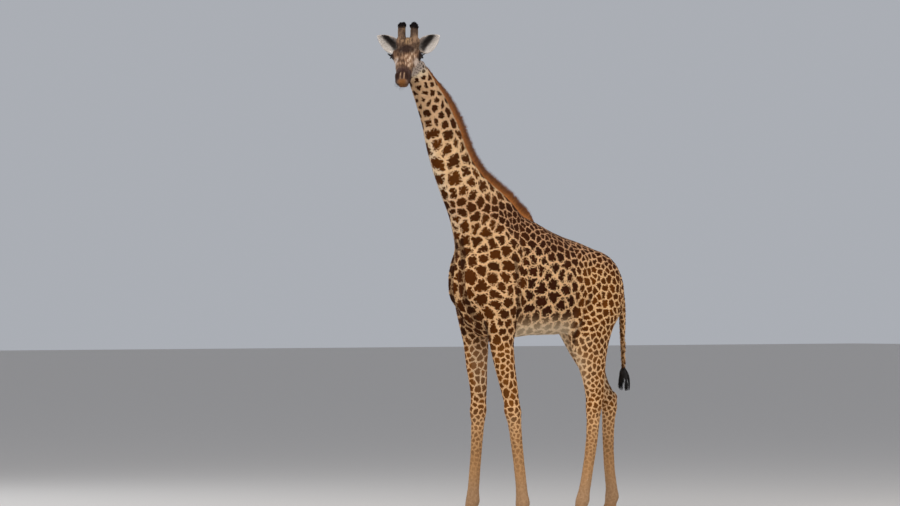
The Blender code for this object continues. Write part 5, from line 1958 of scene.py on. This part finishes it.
# %% How far it stands up, how wide the tufts are and how thick they grow
rise = (0.14 + 0.10 * inside_ear + 0.18 * is_part("tail")) * reach
rise = np.where(knobs, 0.003 + 0.009 * clump, rise)
rise += 0.005 * curly
wide = np.where(knobs, 0.0030, (0.24 * reach).clip(0.0013, 0.0040))
reach += 0.012 * near_coronet
thick = (0.0075 / reach.clip(0.004)) ** 1.2
thick *= smoothstep(eye_far, 0.030, 0.036) * smoothstep(nostril_far, 0.004, 0.012)
thick = np.where(on_face, thick, 1.0)
thick = np.where(knobs, 5.0, np.where(ears, 1.3, thick))
thick = np.where(is_part(*limbs), 0.9 + 0.8 * (1 - smoothstep(tall, 0.4, 1.0)), thick)
thick += 2.0 * near_coronet
print("tufts stand up by", rise.min().round(4), "to", rise.max().round(4))

# %% The coat, piece by piece
COAT_TUFTS = 23500  # in each piece
COAT_DISORDER = 0.16
COAT_PIECES = {
    "coat_head": is_part("head", "ear_left", "ear_right", "ossicone_left", "ossicone_right"),
    "coat_neck": is_part("neck"),
    "coat_trunk_front": is_part("trunk") & (back < -0.02),
    "coat_trunk_hind": is_part("trunk", "tail") & (back >= -0.02),
    "coat_front_legs": is_part(*[name for name in limbs if "front" in name]),
    "coat_hind_legs": is_part(*[name for name in limbs if "hind" in name]),
}
ground_for_hair = add_object("coat_ground", skin_data.copy())
store(ground_for_hair.data, flow=flow, reach=reach, wide=wide, rise=rise)
thick_layer = ground_for_hair.data.attributes.new("thick", "FLOAT", "POINT")
for seed, (name, share) in enumerate(COAT_PIECES.items()):
    thick_layer.data.foreach_set("value", np.ascontiguousarray(thick * share, np.float32))
    ground_for_hair.data.update()
    grow(name, ground_for_hair, coat_tuft, COAT_TUFTS, seed + 20, COAT_DISORDER, coat)
bpy.data.objects.remove(ground_for_hair)

# %% [markdown]
# ## The mane
#
# A stiff brush stands on the back of the neck from the poll to the withers, orange-brown below and
# dark at the tips. Its line on the skin is found with rays cast onto the neck's back, and its height
# at each place with a ray onto the solid of the mane. A narrow strip on the skin along that line is
# the ground that the locks grow on.

# %% The mane's line and height
MANE_STATIONS = 150
MANE_DEPTH = 0.006  # how far the roots lie below the skin
LEAST_MANE = 0.014
RAY_START = 0.4  # how far outside the skin a ray onto the solid starts
low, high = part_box("mane")
skin_tree = tree_of(skin_data)
mane_tree = tree_of(nodes["mane"].data)
mane_points = places(nodes["mane"].data)
slant = Vector((0, high.z - low.z, high.y - low.y)).normalized()  # square to the line from poll to withers
nape = []
for share in np.linspace(0.006, 0.994, MANE_STATIONS):
    height = high.z + (low.z - high.z) * share
    near_height = np.abs(mane_points[:, 2] - height) < 0.12
    x = float(mane_points[near_height, 0].mean()) if near_height.any() else 0.0
    start = Vector((x, low.y + (high.y - low.y) * share, height)) + slant * 0.8
    nape.append(skin_tree.ray_cast(start, -slant)[0])
nape = np.array(nape)
for _ in range(12):
    nape[1:-1] = 0.5 * nape[1:-1] + 0.25 * (nape[:-2] + nape[2:])
downwards = np.gradient(nape, axis=0)
outward = np.column_stack([np.zeros(MANE_STATIONS), -downwards[:, 2], downwards[:, 1]])
outward /= np.linalg.norm(outward, axis=1)[:, None]
downwards /= np.linalg.norm(downwards, axis=1)[:, None]
mane_height = np.zeros(MANE_STATIONS)
for i in range(MANE_STATIONS):
    start = Vector(nape[i] + outward[i] * RAY_START)
    hit = mane_tree.ray_cast(start, -Vector(outward[i]), 0.5)
    mane_height[i] = RAY_START - hit[3] if hit[0] is not None else 0.0
mane_height = mane_height.clip(LEAST_MANE, None)
print("mane height from", mane_height.min().round(3), "to", mane_height.max().round(3))

# %% The ground that it grows on
MANE_HALF = 0.0150  # half the strip's width
ACROSS = np.linspace(-1, 1, 5)
stations = np.arange(MANE_STATIONS)
ragged_crest = 1 + 0.05 * np.sin(stations * 1.7) * np.sin(stations * 0.61)
strip_points, strip_flow, strip_reach, strip_uv = [], [], [], []
for i in range(MANE_STATIONS):
    narrow = min(1, 0.45 + i / 12, 0.45 + (MANE_STATIONS - 1 - i) / 12)
    for share in ACROSS:
        above_skin = nape[i] + np.array([share * MANE_HALF * narrow, 0, 0]) + outward[i] * 0.06
        hit = skin_tree.ray_cast(Vector(above_skin), -Vector(outward[i]), 0.14)[0]
        spot = np.array(hit if hit is not None else nape[i]) - outward[i] * MANE_DEPTH
        strip_points.append(spot)
        strip_flow.append(outward[i] + np.array([0.10 * share, 0, 0]) + 0.10 * downwards[i])
        crest = mane_height[i] * ragged_crest[i] * (1 - 0.12 * share ** 2)
        strip_reach.append((crest + MANE_DEPTH) * 0.90)
        strip_uv.append((0.5 + 0.45 * share * 0.02, 0.02 + 0.96 * i / (MANE_STATIONS - 1)))
strip_faces = []
for i in range(MANE_STATIONS - 1):
    for k in range(len(ACROSS) - 1):
        a = i * len(ACROSS) + k
        strip_faces.append((a, a + 1, a + 1 + len(ACROSS), a + len(ACROSS)))
strip_data = bpy.data.meshes.new("mane_ground")
strip_data.from_pydata([tuple(spot) for spot in strip_points], [], strip_faces)
strip_map = strip_data.uv_layers.new(name="OFBake")
for loop in strip_data.loops:
    strip_map.data[loop.index].uv = strip_uv[loop.vertex_index]
print("mane strip:", len(strip_faces), "faces")

# %% The mane's locks
MANE_LOCKS = 6300
MANE_DISORDER = 0.12
LOCK_WIDTH = 0.0062
strip = add_object("mane_ground", strip_data)
lock_width = np.full(len(strip_points), LOCK_WIDTH)
store(strip_data, flow=np.array(strip_flow), reach=np.array(strip_reach), wide=lock_width,
      rise=lock_width, thick=np.ones(len(strip_points)))
mane_hair = hair_material("mane hair", (212, 134, 66), (126, 68, 28), 0.55, 700.0)
mane = grow("mane_hair", strip, mane_tuft, MANE_LOCKS, 41, MANE_DISORDER, mane_hair)
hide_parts("mane")
bpy.data.objects.remove(strip)

# %% [markdown]
# ## The tail's tassel
#
# Hundreds of long black locks hang from the tail's end, in a few bunches. Each bunch has its own
# length, its own reach away from the middle and its own turn inwards at the tips, and the tips of its
# locks draw together, so that the tassel ends in a few loose points and not in a round brush.

# %% The tail's end and its bunches
TASSEL_LOCKS = 640
TASSEL_STEPS = 9
ROOT_RADIUS = 0.015  # the roots' ring round the tail
ROOT_CLIMB = 0.048  # how far up the tail they start
DRAWN_TOGETHER = 0.22  # how much of their spread round the tail the tips keep
BUNCHES = 7
low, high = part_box("tail_tassel")
tail_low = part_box("tail")[0]
tail_points = places(nodes["tail"].data)
tail_points = tail_points[tail_points[:, 2] < tail_low.z + 0.02]
tail_end = Vector((tail_points[:, 0].mean(), tail_points[:, 1].mean(), tail_low.z))
bunch_lift = chance.uniform(0.0, 0.065, BUNCHES)
bunch_lift[chance.integers(0, BUNCHES, 2)] = 0.0
bunch_reach = chance.uniform(0.55, 1.0, BUNCHES)
bunch_flick = chance.uniform(0.50, 0.68, BUNCHES)  # past a half, a lock turns in again at its tip
print("bunches end above the lowest by", bunch_lift.round(3))

# %% Tassel locks
tassel = Locks()
steps = np.linspace(0, 1, TASSEL_STEPS)
radii = [0.0021 * (0.55 + 0.45 * math.sin(math.pi * share)) * (1 - share ** 3) + 0.0002 for share in steps]
for k in range(TASSEL_LOCKS):
    bunch = k % BUNCHES
    angle = math.tau * (bunch + chance.uniform(-0.5, 0.5)) / BUNCHES
    far = math.sqrt(chance.uniform(0, 1))
    climb = chance.uniform(0, 1) ** 1.6
    ring_place = (ROOT_RADIUS * math.cos(angle), ROOT_RADIUS * math.sin(angle), ROOT_CLIMB * climb)
    root = tail_end + Vector(ring_place)
    bunch_angle = math.tau * bunch / BUNCHES
    angle = bunch_angle + (angle - bunch_angle) * DRAWN_TOGETHER
    reach_x = (high.x - tail_end.x if math.cos(angle) > 0 else tail_end.x - low.x) - 0.004
    reach_y = (high.y - tail_end.y if math.sin(angle) > 0 else tail_end.y - low.y) - 0.004
    reach_out = bunch_reach[bunch] * (0.80 + 0.20 * far)
    tip = Vector((tail_end.x + reach_x * math.cos(angle) * reach_out,
                  tail_end.y + reach_y * math.sin(angle) * reach_out,
                  low.z - 0.004 + bunch_lift[bunch] + 0.050 * chance.uniform(0, 1) ** 2))
    turn = chance.normal(0, 0.010)
    flick = bunch_flick[bunch] + chance.uniform(-0.03, 0.03)
    path = []
    for share in steps:
        away_share = math.sin(math.pi * flick * share) / math.sin(math.pi * flick)
        swing = turn * math.sin(math.pi * 1.7 * share)
        path.append(Vector((root.x + (tip.x - root.x) * away_share - swing * math.sin(angle),
                            root.y + (tip.y - root.y) * away_share + swing * math.cos(angle),
                            root.z + (tip.z - root.z) * share ** 1.25)))
    tassel.add(path, radii, 3, tint=chance.uniform(0, 1))
tassel_piece = tassel.piece("tail_locks", black_hair)
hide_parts("tail_tassel")

# %% [markdown]
# ## Whiskers
#
# Sparse stiff hairs stand on the chin and lips, a little longer than a finger's width. They are single
# tubes, because tufts would look like a beard.

# %% Whiskers
WHISKERS = 70
WHISKER_RADII = [0.00042, 0.0004, 0.00034, 0.00026, 0.00016, 0.00005]
WHISKER_LEAN = in_world([[0.25, 0, -0.35]])[0]  # forward and down
whiskers = Locks()
on_lips = np.nonzero(on_face & (ahead > 0.29) & (above < -0.045) & (nostril_far > 0.02))[0]
for index in chance.choice(on_lips, WHISKERS, replace=False):
    root = Vector(points[index])
    way = Vector(normals[index]) + Vector(WHISKER_LEAN)
    way.normalize()
    long = chance.uniform(0.014, 0.034)
    sag = Vector((0, 0, -0.25 * long))
    steps = np.linspace(0, 1, len(WHISKER_RADII))
    path = [root + way * (long * share) + sag * share ** 2 for share in steps]
    whiskers.add(path, WHISKER_RADII, 3, tint=chance.uniform(0.3, 0.9))
whiskers.piece("whiskers", black_hair)

# %% Tufts put away
for gone in (coat_tuft, mane_tuft):
    bpy.data.objects.remove(gone)
